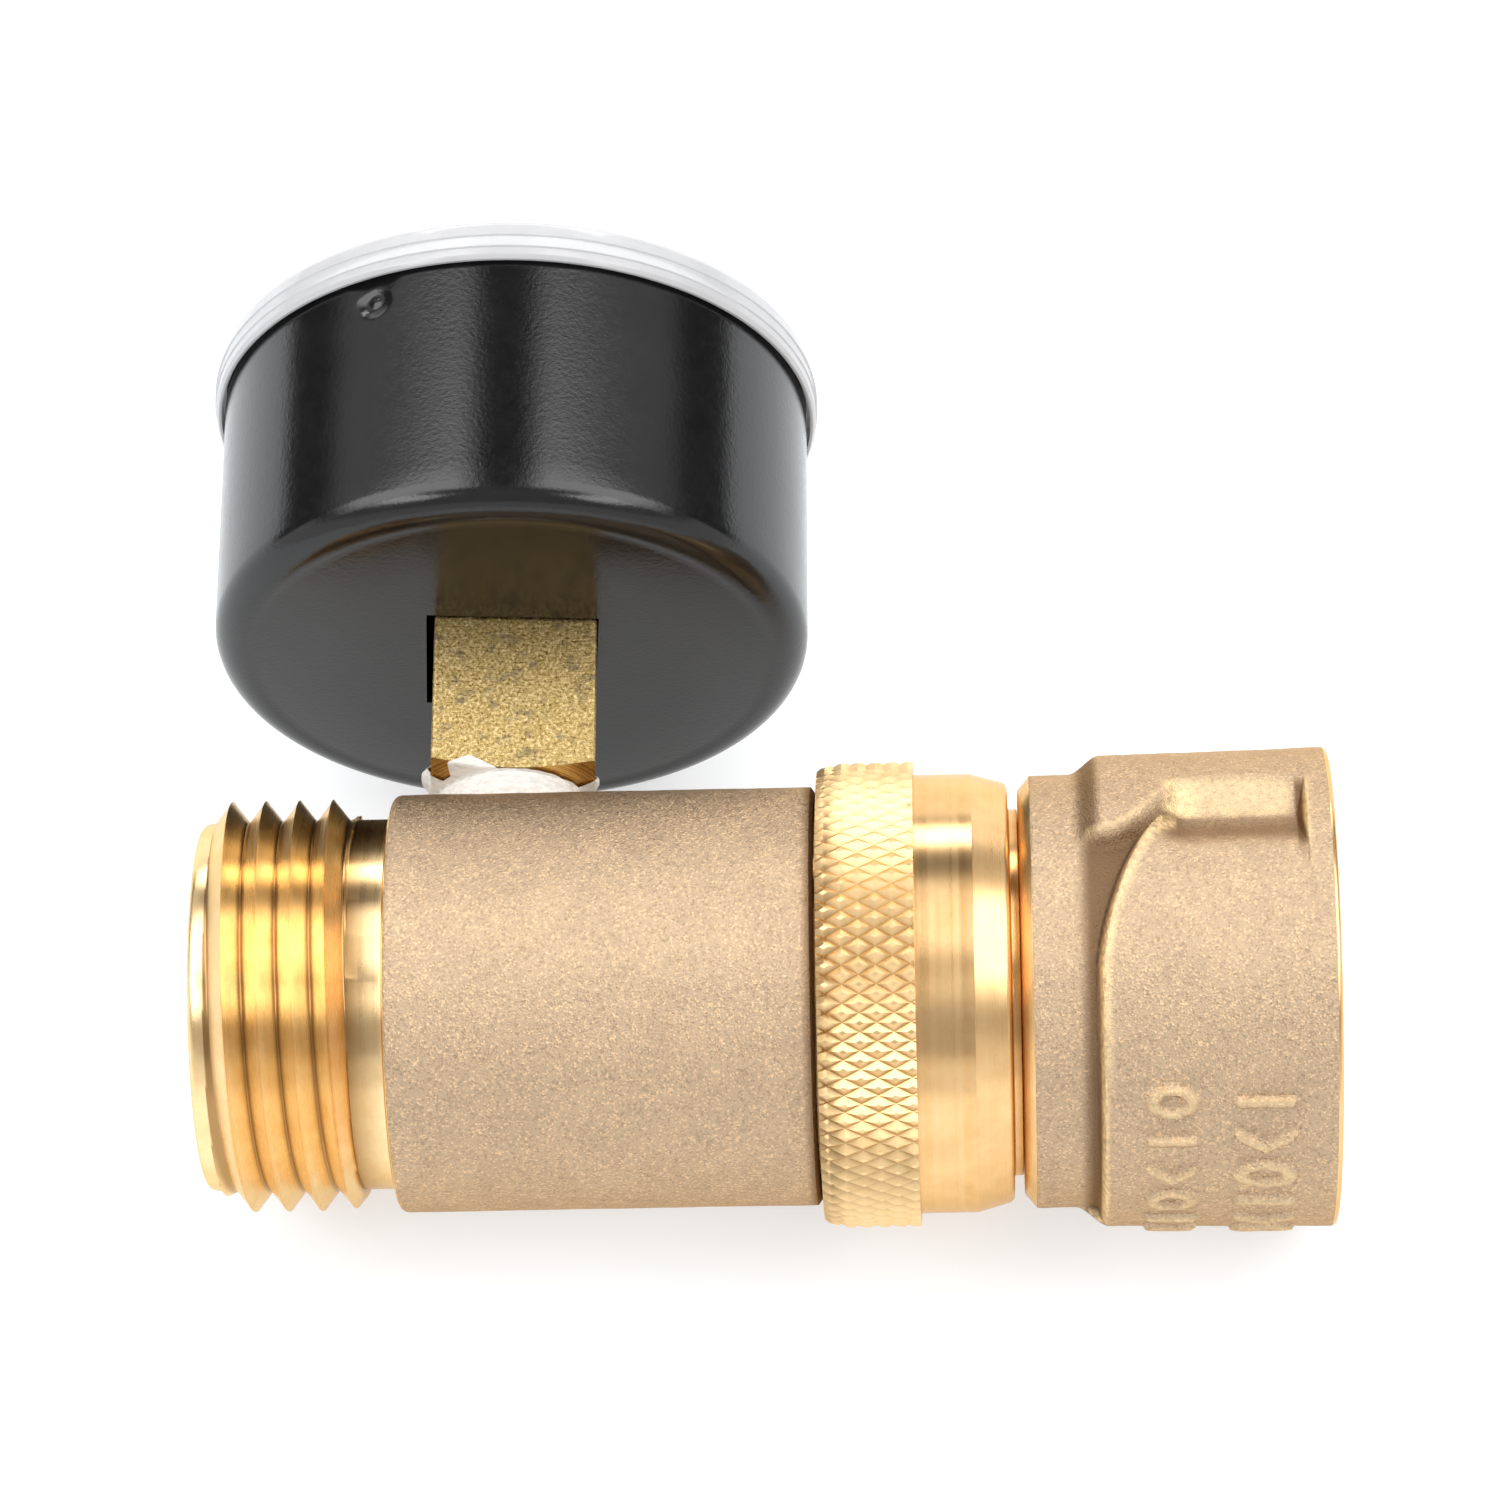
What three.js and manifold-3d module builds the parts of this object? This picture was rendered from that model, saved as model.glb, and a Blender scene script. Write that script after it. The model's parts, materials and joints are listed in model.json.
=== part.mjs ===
// Garden hose pressure regulator with a back-mounted pressure gauge, for a caravan's water inlet.
//
// Millimetres, +Z up. The water path is parallel to X and runs from the inlet nut at +X to the
// outlet thread at -X. The object lies on a table: the nut's end ring and the back edge of the
// gauge case touch z = 0, and the dial faces +Y. The origin is the bottom centre of its box,
// which reaches in X from the side of the lens to the mouth of the nut.
import * as THREE from "three";
import { mergeVertices } from "three/addons/utils/BufferGeometryUtils.js";
import Module from "manifold-3d";

const wasm = await Module();
wasm.setup();

// ---- Driving dimensions -------------------------------------------------------------------
// Distances "along" are measured on the water path from the outlet end.

const CLEARANCE = 0.3; // between touching pieces that are turned or cut
const FACE_GAP = 0.15; // between flat faces square to the water path

// 3/4 inch garden hose thread
const THREAD_PITCH = 25.4 / 11.5;
const MALE_CREST_R = 13.45;
const MALE_ROOT_R = 12.1;
const FEMALE_CREST_R = 12.45;
const FEMALE_ROOT_R = 13.5;

// Outlet body
const FIRST_CREST = 1.75;
const CREST_COUNT = 4;
const SLEEVE_START = 12.5;
const SLEEVE_END = 39.8;
const SLEEVE_R = 13.65;
const OUTLET_BORE_R = 8;
const OUTLET_BORE_END = 14.5;
const PORT_BORE_R = 10; // chamber that the gauge port opens into
const PISTON_STOP = 25.2;
const PISTON_BORE_R = 10.7;
const CAP_BORE_START = 33.2;
const CAP_BORE_R = 12.1;

// Inlet cap
const CAP_START = 33.5;
const SPIGOT_R = 11.8;
const RING_START = 40.2;
const RING_END = 46.5;
const RING_R = 15.15;
const BARREL_END = 50.3;
const BARREL_R = 14.3;
const TAPER_END = 52.6;
const TAPER_R = 13.65;
const CAP_END = 53.0;
const CAP_NECK_R = 11.95;
const SPRING_POCKET_R = 9;
const GUIDE_START = 39;
const GUIDE_END = 42;
const GUIDE_R = 4.8;
const VALVE_CHAMBER_R = 8.2;

// Piston group
const HEAD_START = PISTON_STOP + CLEARANCE;
const HEAD_END = 29.5;
const HEAD_R = 10.4;
const STEM_R = 4.5;
const STEM_END = 47;
const STEM_BORE_R = 2.6;
const STEM_BORE_END = 45.2;
const SIDE_HOLE_AT = 44;
const SIDE_HOLE_R = 1.1;
const DISC_R = 4.2;
const DISC_THICKNESS = 1.4;

// Tailpiece and nut
const SEAT_LIP_AT = 50.3;
const SEAT_R = 3;
const TAIL_R = 7.9;
const FLANGE_START = 57.4;
const FLANGE_END = 60;
const FLANGE_R = 11.6;
const WASHER_THICKNESS = 3;
const NUT_START = 53.25;
const NUT_END = 73.4;
const NUT_BACK_R = 13.2;
const NUT_COLLAR_R = 14.1;
const NUT_MAIN_R = 15.3;
const NUT_END_R = 15.6;
const NUT_MOUTH_R = 13.8;
const HOLLOW_FLOOR_R = 14.25;
const HOLLOW_ANGLE = THREE.MathUtils.degToRad(79); // from +Y towards +Z

// Gauge. Heights are distances from the water path's axis, outwards along the gauge's stem.
const PORT_AT = 19.7;
const CASE_OFFSET = 0.25; // case centre to stem axis
const SPIGOT_THREAD_R = 5.1;
const SOCKET_SIDE = 10.85;
const SOCKET_FOOT = 14.5;
const SOCKET_TOP = 30;
const CASE_BACK = 25.95;
const CASE_R = 20;
const CASE_EDGE = 45.3;
const CASE_WALL = 0.6;
const CASE_CORNER_R = 2;
const CASE_HOLE_SIDE = 11.5;
const LENS_R = 20.65;
const LENS_SKIRT = 44.4;
const LENS_BACK = 46.4;
const LENS_FRONT = 48;
const DIAL_BACK = 42.2;
const DIAL_FRONT = 42.6;
const DIAL_R = 18.6;

// Gauge movement
const BACK_PLATE_Z = 30.3;
const FRONT_PLATE_Z = 37.2;
const PLATE_THICKNESS = 0.9;
const SECTOR_PIVOT = new THREE.Vector2(0, -9);
const SECTOR_R = 7.85;
const SECTOR_TRAVEL = THREE.MathUtils.degToRad(33.75);
const PINION_R = 0.85;
const TUBE_R = 14;
const TUBE_START = THREE.MathUtils.degToRad(-105);
const TUBE_END = THREE.MathUtils.degToRad(-352);
const TUBE_BACK = 27.6;
const TUBE_WIDTH = 4;
const TUBE_THICKNESS = 1.4;
const TIP_PIVOT = new THREE.Vector2(14, 0);
const TAIL_LENGTH = 4;
const TAIL_ANGLE = THREE.MathUtils.degToRad(23.5);
const ZERO_ANGLE = THREE.MathUtils.degToRad(225);

// Resting position: the nut's end and the case's back corner touch the same table.
const cornerCentreOut = CASE_BACK + CASE_CORNER_R;
const cornerCentreDown = CASE_R - CASE_CORNER_R;
const LEAN =
  Math.acos((NUT_END_R - CASE_CORNER_R) / Math.hypot(cornerCentreOut, cornerCentreDown)) -
  Math.atan(cornerCentreOut / cornerCentreDown);
const FRONT_REACH = LENS_FRONT * Math.cos(LEAN) + (LENS_R - 0.8) * Math.sin(LEAN);
const LENS_SIDE = PORT_AT - CASE_OFFSET - LENS_R;
const OUTLET_X = -(NUT_END + LENS_SIDE) / 2;
const FLOW_Y = (NUT_END_R - FRONT_REACH) / 2;
const FLOW_Z = NUT_END_R;

// ---- Materials ----------------------------------------------------------------------------

function material(color, roughness, metalness) {
  return new THREE.MeshStandardMaterial({ color, roughness, metalness });
}

const castBrass = material(0xb39d78, 0.6, 0.8);
const turnedBrass = material(0xdcb163, 0.25, 1);
const springSteel = material(0xb9bcc0, 0.35, 1);
const stainless = material(0xc6c8ca, 0.3, 1);
const blackPaint = material(0x1b1b1c, 0.45, 0);
const clearPlastic = material(0xf4f6f7, 0.1, 0);
const blackRubber = material(0x202020, 0.8, 0);
const whiteTape = material(0xf6f6f4, 0.7, 0);
const dialWhite = material(0xf3f3f0, 0.5, 0);
const pointerBlack = material(0x111111, 0.5, 0);

// ---- Geometry helpers ---------------------------------------------------------------------

// A geometry as a manifold-3d solid: positions only, shared vertices merged, no empty triangles.
function solidOf(geometry) {
  const bare = geometry.clone();
  bare.deleteAttribute("normal");
  bare.deleteAttribute("uv");
  const merged = mergeVertices(bare, 1e-4);
  const corners = merged.index.array;
  const kept = [];
  for (let i = 0; i < corners.length; i += 3) {
    const [a, b, c] = corners.subarray(i, i + 3);
    if (a !== b && b !== c && c !== a) kept.push(a, b, c);
  }
  const vertProperties = merged.attributes.position.array;
  const build = () =>
    new wasm.Manifold(new wasm.Mesh({ numProp: 3, vertProperties, triVerts: new Uint32Array(kept) }));
  const solid = build();
  if (solid.volume() > 0) return solid;
  kept.reverse();
  return build();
}

function geometryOf(solid) {
  const mesh = solid.getMesh();
  const geometry = new THREE.BufferGeometry();
  geometry.setAttribute("position", new THREE.BufferAttribute(mesh.vertProperties, 3));
  geometry.setIndex(new THREE.BufferAttribute(mesh.triVerts, 1));
  return geometry;
}

function join(...geometries) {
  return geometryOf(geometries.map(solidOf).reduce((whole, next) => whole.add(next)));
}

function cut(geometry, ...tools) {
  return geometryOf(tools.map(solidOf).reduce((rest, tool) => rest.subtract(tool), solidOf(geometry)));
}

function overlapOf(first, second) {
  return geometryOf(solidOf(first).intersect(solidOf(second)));
}

function named(name, geometry, finish) {
  const mesh = new THREE.Mesh(geometryOf(solidOf(geometry)), finish);
  mesh.geometry.computeVertexNormals();
  mesh.name = name;
  return mesh;
}

// Points [along, radius] turned round the water path's axis.
function turned(points, sides = 32) {
  const profile = points.map(([along, radius]) => new THREE.Vector2(radius, along));
  return new THREE.LatheGeometry(profile, sides).rotateZ(-Math.PI / 2);
}

// A closed section [along, radius] turned into a ring.
function turnedRing(points, sides) {
  return turned([...points, points[0]], sides);
}

// Points [height, radius] turned round the gauge's stem.
function spun(points, sides = 36) {
  const profile = points.map(([height, radius]) => new THREE.Vector2(radius, height));
  return new THREE.LatheGeometry(profile, sides).rotateX(Math.PI / 2);
}

function spunRing(points, sides) {
  return spun([...points, points[0]], sides);
}

// A round bar that stands along the gauge's stem.
function post(x, y, bottom, top, radius, sides = 12) {
  const bar = new THREE.CylinderGeometry(radius, radius, top - bottom, sides);
  return bar.rotateX(Math.PI / 2).translate(x, y, (top + bottom) / 2);
}

function block(width, depth, bottom, top) {
  return new THREE.BoxGeometry(width, depth, top - bottom).translate(0, 0, (top + bottom) / 2);
}

function slab(shape, bottom, thickness, curveSegments = 12) {
  const options = { depth: thickness, bevelEnabled: false, curveSegments };
  return new THREE.ExtrudeGeometry(shape, options).translate(0, 0, bottom);
}

function waterSideORing(along, radius, thickness) {
  const ring = new THREE.TorusGeometry(radius, thickness, 6, 24);
  return ring.rotateY(Math.PI / 2).translate(along, 0, 0);
}

// ---- Regulator ----------------------------------------------------------------------------

// V ridges at the thread's pitch. Each is [foot, crest, foot].
function threadRidges(first, count, rootR, crestR, halfWidth) {
  const points = [];
  for (let turn = 0; turn < count; turn += 1) {
    const crest = first + turn * THREAD_PITCH;
    points.push([crest - halfWidth, rootR], [crest, crestR], [crest + halfWidth, rootR]);
  }
  return points;
}

function outletBody() {
  const shell = turnedRing([
    [0, OUTLET_BORE_R],
    [0, MALE_ROOT_R - 0.4],
    [0.4, MALE_ROOT_R],
    ...threadRidges(FIRST_CREST, CREST_COUNT, MALE_ROOT_R, MALE_CREST_R, 0.9),
    [SLEEVE_START, MALE_ROOT_R],
    [SLEEVE_START, SLEEVE_R - 0.5],
    [SLEEVE_START + 0.5, SLEEVE_R],
    [SLEEVE_END, SLEEVE_R],
    [SLEEVE_END, CAP_BORE_R],
    [CAP_BORE_START, CAP_BORE_R],
    [CAP_BORE_START, PISTON_BORE_R],
    [PISTON_STOP, PISTON_BORE_R],
    [PISTON_STOP, PORT_BORE_R],
    [OUTLET_BORE_END, PORT_BORE_R],
    [OUTLET_BORE_END, OUTLET_BORE_R],
  ]);
  const port = new THREE.CylinderGeometry(
    SPIGOT_THREAD_R + CLEARANCE,
    SPIGOT_THREAD_R + CLEARANCE,
    2 * SLEEVE_R,
    24,
  );
  port.translate(0, SLEEVE_R + 4, 0).rotateX(LEAN).translate(PORT_AT, 0, 0);
  return cut(shell, port);
}

function inletCap() {
  return turnedRing([
    [CAP_START, SPRING_POCKET_R],
    [CAP_START, SPIGOT_R],
    [36, SPIGOT_R],
    [36, SPIGOT_R - 1],
    [37.9, SPIGOT_R - 1],
    [37.9, SPIGOT_R],
    [RING_START, SPIGOT_R],
    [RING_START, RING_R - 0.45],
    [RING_START + 0.5, RING_R],
    [RING_END, RING_R],
    [RING_END, BARREL_R],
    [BARREL_END, BARREL_R],
    [TAPER_END - 0.3, TAPER_R + 0.1],
    [TAPER_END, TAPER_R - 0.25],
    [TAPER_END, CAP_NECK_R],
    [CAP_END, CAP_NECK_R],
    [CAP_END, VALVE_CHAMBER_R],
    [GUIDE_END, VALVE_CHAMBER_R],
    [GUIDE_END, GUIDE_R],
    [41.4, GUIDE_R],
    [41.4, GUIDE_R + 1.2],
    [39.6, GUIDE_R + 1.2],
    [39.6, GUIDE_R],
    [GUIDE_START, GUIDE_R],
    [GUIDE_START, SPRING_POCKET_R],
  ]);
}

function piston() {
  const blank = turnedRing(
    [
      [HEAD_START, STEM_BORE_R],
      [HEAD_START, HEAD_R],
      [26.6, HEAD_R],
      [26.6, HEAD_R - 1.2],
      [28.4, HEAD_R - 1.2],
      [28.4, HEAD_R],
      [HEAD_END, HEAD_R],
      [HEAD_END, STEM_R],
      [STEM_END, STEM_R],
      [STEM_END, 1.2],
      [STEM_BORE_END, 1.2],
      [STEM_BORE_END, STEM_BORE_R],
    ],
    24,
  );
  const acrossY = new THREE.CylinderGeometry(SIDE_HOLE_R, SIDE_HOLE_R, 4 * STEM_R, 8);
  const acrossZ = acrossY.clone().rotateX(Math.PI / 2);
  return cut(blank, acrossY.translate(SIDE_HOLE_AT, 0, 0), acrossZ.translate(SIDE_HOLE_AT, 0, 0));
}

class Helix extends THREE.Curve {
  constructor(start, end, radius, turns) {
    super();
    Object.assign(this, { start, end, radius, turns });
  }

  getPoint(t, target = new THREE.Vector3()) {
    const angle = 2 * Math.PI * this.turns * t;
    const along = THREE.MathUtils.lerp(this.start, this.end, t);
    return target.set(along, this.radius * Math.cos(angle), this.radius * Math.sin(angle));
  }
}

function regulatorSpring() {
  const wireR = 0.7;
  const wire = new THREE.Shape().absarc(0, 0, wireR, 0, 2 * Math.PI);
  const start = HEAD_END + FACE_GAP + wireR;
  const end = GUIDE_START - FACE_GAP - wireR;
  const coil = new Helix(start, end, 7.2, 4);
  return new THREE.ExtrudeGeometry(wire, { steps: 52, extrudePath: coil, curveSegments: 3 });
}

function seatDisc() {
  const front = STEM_END + FACE_GAP;
  return turnedRing(
    [
      [front, 1.2],
      [front, DISC_R],
      [front + DISC_THICKNESS, DISC_R],
      [front + DISC_THICKNESS, 1.2],
    ],
    24,
  );
}

function seatScrew() {
  const head = STEM_END + 2 * FACE_GAP + DISC_THICKNESS;
  return turned(
    [
      [STEM_BORE_END + 0.2, 0],
      [STEM_BORE_END + 0.2, 0.9],
      [head, 0.9],
      [head, 1.8],
      [head + 0.6, 1.6],
      [head + 0.6, 0],
    ],
    16,
  );
}

function tailpiece() {
  return turnedRing(
    [
      [SEAT_LIP_AT, SEAT_R],
      [SEAT_LIP_AT, SEAT_R + 0.6],
      [SEAT_LIP_AT + 0.5, SEAT_R + 1],
      [SEAT_LIP_AT + 0.5, TAIL_R],
      [FLANGE_START, TAIL_R],
      [FLANGE_START, FLANGE_R],
      [FLANGE_END, FLANGE_R],
      [FLANGE_END, 6],
      [SEAT_LIP_AT + 4, 6],
      [SEAT_LIP_AT + 2.5, SEAT_R],
    ],
    24,
  );
}

// How much of the full height is left at a place on the nut's outside: 0 in a thumb hollow.
function padHeight(along, angle) {
  const halfTurn = Math.PI;
  const away = angle - HOLLOW_ANGLE;
  const offset = Math.abs(away - halfTurn * Math.round(away / halfTurn));
  const flare = 1 - THREE.MathUtils.smoothstep(along, 58.3, 63.5);
  const halfWidth = THREE.MathUtils.degToRad(11 + 16 * flare);
  const side = THREE.MathUtils.smoothstep(offset, halfWidth - 0.1, halfWidth + 0.1);
  const endWall = THREE.MathUtils.smoothstep(along, 70.6, 71.6);
  return Math.max(side, endWall);
}

function swivelNut() {
  const stations = [58.3, 60, 62, 63.5, 70.6, 71.6, NUT_END - 0.3];
  const mainRadius = (along) =>
    THREE.MathUtils.mapLinear(along, 58.3, NUT_END, NUT_MAIN_R, NUT_END_R);
  const outside = turned(
    [
      [NUT_START, 0],
      [NUT_START, NUT_BACK_R],
      [NUT_START + 0.75, NUT_COLLAR_R],
      [56.5, NUT_COLLAR_R],
      [57.4, (NUT_COLLAR_R + NUT_MAIN_R) / 2],
      ...stations.map((along) => [along, mainRadius(along)]),
      [NUT_END, NUT_END_R - 0.3],
      [NUT_END, 0],
    ],
    48,
  );
  const places = outside.attributes.position;
  for (let i = 0; i < places.count; i += 1) {
    const [along, y, z] = [places.getX(i), places.getY(i), places.getZ(i)];
    const radius = Math.hypot(y, z);
    if (radius < NUT_MAIN_R - 0.1) continue;
    const left = padHeight(along, Math.atan2(z, y));
    const scale = THREE.MathUtils.lerp(HOLLOW_FLOOR_R, radius, left) / radius;
    places.setXYZ(i, along, y * scale, z * scale);
  }
  const ridgeCount = 3;
  const firstRidge = NUT_END - 1.9 - (ridgeCount - 1) * THREAD_PITCH;
  const inside = turned([
    [NUT_START - 1, 0],
    [NUT_START - 1, TAIL_R + CLEARANCE],
    [FLANGE_START - CLEARANCE, TAIL_R + CLEARANCE],
    [FLANGE_START - CLEARANCE, FEMALE_CREST_R + 0.15],
    [firstRidge - 1, FEMALE_CREST_R + 0.15],
    ...threadRidges(firstRidge, ridgeCount, FEMALE_ROOT_R, FEMALE_CREST_R, 0.8),
    [NUT_END - 0.6, FEMALE_ROOT_R],
    [NUT_END, NUT_MOUTH_R],
    [NUT_END + 1, NUT_MOUTH_R],
    [NUT_END + 1, 0],
  ]);
  return cut(outside, inside);
}

function hoseWasher() {
  const back = FLANGE_END + FACE_GAP;
  return turnedRing(
    [
      [back, 8.2],
      [back, 12.2],
      [back + WASHER_THICKNESS, 12.2],
      [back + WASHER_THICKNESS, 8.2],
    ],
    24,
  );
}

// A shallow mesh cup, as one thin dished sheet with a rim.
function inletScreen() {
  const back = FLANGE_END + FACE_GAP;
  return turned(
    [
      [back + 1.7, 0],
      [back + 1.4, 4],
      [back + 0.1, 7.9],
      [back + 0.5, 7.9],
      [back + 1.8, 4.2],
      [back + 2.1, 0],
    ],
    24,
  );
}

// ---- Gauge --------------------------------------------------------------------------------
// The gauge is modelled as its reader sees it: x to the right, y up, z towards the reader.

// The stem stands off the case's centre, so the socket's shapes are moved by this much.
const STEM_X = -CASE_OFFSET;

function gaugeSocket() {
  const bar = block(SOCKET_SIDE, SOCKET_SIDE, SOCKET_FOOT, SOCKET_TOP).translate(STEM_X, 0, 0);
  const footCone = spun([
    [SOCKET_FOOT, 0],
    [SOCKET_FOOT, 5],
    [SOCKET_FOOT + 1.1, 8],
    [SOCKET_TOP + 1, 8],
    [SOCKET_TOP + 1, 0],
  ]).translate(STEM_X, 0, 0);
  const spigot = post(STEM_X, 0, 11, SOCKET_FOOT + 1, SPIGOT_THREAD_R, 24);
  // The arm ends beside the tube's fixed end.
  const armWidth = 4.6;
  const armEnd = TUBE_R + 1.2;
  const arm = block(armWidth, armEnd - 4, TUBE_BACK - 0.4, SOCKET_TOP - 0.6);
  const armAngle = TUBE_START + (armWidth / 2 + CLEARANCE) / TUBE_R;
  arm.translate(0, -(armEnd + 4) / 2, 0).rotateZ(armAngle + Math.PI / 2);
  const bore = post(STEM_X, 0, 10, 26, 1.6);
  return cut(join(overlapOf(bar, footCone), spigot, arm), bore);
}

function ptfeTape() {
  return spunRing(
    [
      [SLEEVE_R + 0.12, SPIGOT_THREAD_R + 0.15],
      [SLEEVE_R + 0.12, 6.1],
      [SOCKET_FOOT - 0.12, 5.7],
      [SOCKET_FOOT - 0.12, SPIGOT_THREAD_R + 0.15],
    ],
    24,
  ).translate(STEM_X, 0, 0);
}

function gaugeCase() {
  const corner = (radius, steps) => {
    const points = [];
    for (let i = 0; i <= steps; i += 1) {
      const turn = (Math.PI / 2) * (i / steps);
      const height = CASE_BACK + CASE_CORNER_R - radius * Math.cos(turn);
      points.push([height, CASE_R - CASE_CORNER_R + radius * Math.sin(turn)]);
    }
    return points;
  };
  const cup = spun([
    [CASE_BACK, 0],
    ...corner(CASE_CORNER_R, 4),
    [CASE_EDGE, CASE_R],
    [CASE_EDGE, CASE_R - CASE_WALL],
    ...corner(CASE_CORNER_R - CASE_WALL, 3).reverse(),
    [CASE_BACK + CASE_WALL, 0],
  ]);
  const hole = block(CASE_HOLE_SIDE, CASE_HOLE_SIDE, CASE_BACK - 1, CASE_BACK + 2);
  return cut(cup, hole.translate(STEM_X, 0, 0));
}

function gaugeLens() {
  return spun([
    [LENS_FRONT, 0],
    [LENS_FRONT, LENS_R - 0.8],
    [LENS_FRONT - 0.8, LENS_R],
    [LENS_SKIRT + 0.4, LENS_R],
    [LENS_SKIRT, LENS_R - 0.2],
    [LENS_SKIRT, CASE_R + 0.25],
    [LENS_BACK - 0.3, CASE_R + 0.25],
    [LENS_BACK - 0.3, CASE_R - 1],
    [LENS_BACK, CASE_R - 1],
    [LENS_BACK, 0],
  ]);
}

function lensGasket() {
  return spunRing(
    [
      [CASE_EDGE + 0.2, CASE_R - 0.8],
      [CASE_EDGE + 0.2, CASE_R],
      [LENS_BACK - 0.5, CASE_R],
      [LENS_BACK - 0.5, CASE_R - 0.8],
    ],
    32,
  );
}

function dialPlate(screwPlaces) {
  const holes = screwPlaces.map(([x, y]) => post(x, y, DIAL_BACK - 1, DIAL_FRONT + 1, 0.8, 12));
  const arborHole = post(0, 0, DIAL_BACK - 1, DIAL_FRONT + 1, 1.3);
  return cut(post(0, 0, DIAL_BACK, DIAL_FRONT, DIAL_R, 40), arborHole, ...holes);
}

function dialScrew([x, y]) {
  const shank = post(x, y, FRONT_PLATE_Z + PLATE_THICKNESS + 1, DIAL_FRONT + 0.3, 0.5, 12);
  const head = post(x, y, DIAL_FRONT + 0.12, DIAL_FRONT + 0.5, 1.4, 16);
  return join(shank, head);
}

function pointer() {
  const hand = new THREE.Shape();
  hand.moveTo(14.5, 0.12).lineTo(0, 0.75).lineTo(-5, 0.9).lineTo(-5, -0.9).lineTo(0, -0.75);
  hand.lineTo(14.5, -0.12).closePath();
  const bottom = DIAL_FRONT + 0.8;
  const hub = post(0, 0, DIAL_FRONT + 0.3, DIAL_FRONT + 1.8, 1.9, 20);
  const arborHole = post(0, 0, DIAL_FRONT, DIAL_FRONT + 1.4, 0.75, 12);
  return cut(join(slab(hand, bottom, 0.3), hub), arborHole).rotateZ(ZERO_ANGLE);
}

// A disc with straight teeth: tips at outerR, roots at innerR, over the given arc.
function toothedShape(outerR, innerR, teeth, from, to) {
  const shape = new THREE.Shape();
  const step = (to - from) / teeth;
  for (let tooth = 0; tooth < teeth; tooth += 1) {
    const start = from + tooth * step;
    const outline = [
      [innerR, 0],
      [outerR, 0.3],
      [outerR, 0.55],
      [innerR, 0.85],
    ];
    for (const [radius, part] of outline) {
      const angle = start + part * step;
      const place = [radius * Math.cos(angle), radius * Math.sin(angle)];
      if (tooth === 0 && part === 0) shape.moveTo(...place);
      else shape.lineTo(...place);
    }
  }
  return shape;
}

function pinionArbor() {
  const arbor = post(0, 0, BACK_PLATE_Z + PLATE_THICKNESS + 0.3, DIAL_FRONT + 1.1, 0.5, 12);
  const teeth = toothedShape(PINION_R, PINION_R - 0.3, 8, 0, 2 * Math.PI);
  return join(arbor, slab(teeth, 32.4, 2.2));
}

function sectorGear() {
  // At rest the rim's far side meets the pinion, which is straight above the pivot.
  const margin = THREE.MathUtils.degToRad(8);
  const from = Math.PI / 2 - SECTOR_TRAVEL - margin;
  const to = Math.PI / 2 + margin;
  const rim = toothedShape(SECTOR_R, SECTOR_R - 0.7, 16, from, to);
  rim.lineTo(0, 0);
  rim.closePath();
  const thickness = 0.9;
  const tail = new THREE.BoxGeometry(TAIL_LENGTH, 1.8, thickness);
  tail.translate(TAIL_LENGTH / 2, 0, thickness / 2).rotateZ(TAIL_ANGLE);
  const tailX = TAIL_LENGTH * Math.cos(TAIL_ANGLE);
  const tailY = TAIL_LENGTH * Math.sin(TAIL_ANGLE);
  const tailEnd = post(tailX, tailY, 0, thickness, 1);
  const stub = post(tailX, tailY, -1.3, 0.2, 0.3, 8);
  const hub = post(0, 0, 0, thickness, 1.8, 20);
  const blank = join(slab(rim, 0, thickness), tail, tailEnd, stub, hub);
  const hole = post(0, 0, -1, thickness + 1, 0.9, 16);
  return cut(blank, hole).translate(SECTOR_PIVOT.x, SECTOR_PIVOT.y, 33);
}

function sectorArbor() {
  const bottom = BACK_PLATE_Z + PLATE_THICKNESS + 0.3;
  return post(SECTOR_PIVOT.x, SECTOR_PIVOT.y, bottom, FRONT_PLATE_Z - 0.3, 0.6, 12);
}

function bourdonTube() {
  const shape = new THREE.Shape();
  const outerR = TUBE_R + TUBE_THICKNESS / 2;
  const innerR = TUBE_R - TUBE_THICKNESS / 2;
  shape.absarc(0, 0, outerR, TUBE_START, TUBE_END, true);
  shape.absarc(0, 0, innerR, TUBE_END, TUBE_START, false);
  shape.closePath();
  const bevel = 0.35;
  const options = {
    depth: TUBE_WIDTH - 2 * bevel,
    bevelThickness: bevel,
    bevelSize: bevel,
    bevelOffset: -bevel,
    bevelSegments: 1,
    curveSegments: 20,
  };
  return new THREE.ExtrudeGeometry(shape, options).translate(0, 0, TUBE_BACK + bevel);
}

function tubeTip() {
  const tip = block(2.8, 2.4, TUBE_BACK + 0.3, TUBE_BACK + TUBE_WIDTH);
  const hole = post(0, 0, TUBE_BACK, TUBE_BACK + TUBE_WIDTH + 1, 0.65, 12);
  return cut(tip, hole).translate(TIP_PIVOT.x, TIP_PIVOT.y - 0.2, 0);
}

const tailEndPlace = new THREE.Vector2(TAIL_LENGTH, 0)
  .rotateAround(new THREE.Vector2(), TAIL_ANGLE)
  .add(SECTOR_PIVOT);
const LINK_Z = 31.9;

function link() {
  const reach = TIP_PIVOT.distanceTo(tailEndPlace);
  const bar = new THREE.BoxGeometry(reach, 1.2, 0.6).translate(reach / 2, 0, 0.3);
  const blank = join(bar, post(0, 0, 0, 0.6, 1.2), post(reach, 0, 0, 0.6, 1.3));
  const holes = [post(0, 0, -1, 1.6, 0.65, 12), post(reach, 0, -1, 1.6, 0.7, 12)];
  const heading = tailEndPlace.clone().sub(TIP_PIVOT).angle();
  return cut(blank, ...holes).rotateZ(heading).translate(TIP_PIVOT.x, TIP_PIVOT.y, LINK_Z);
}

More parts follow.
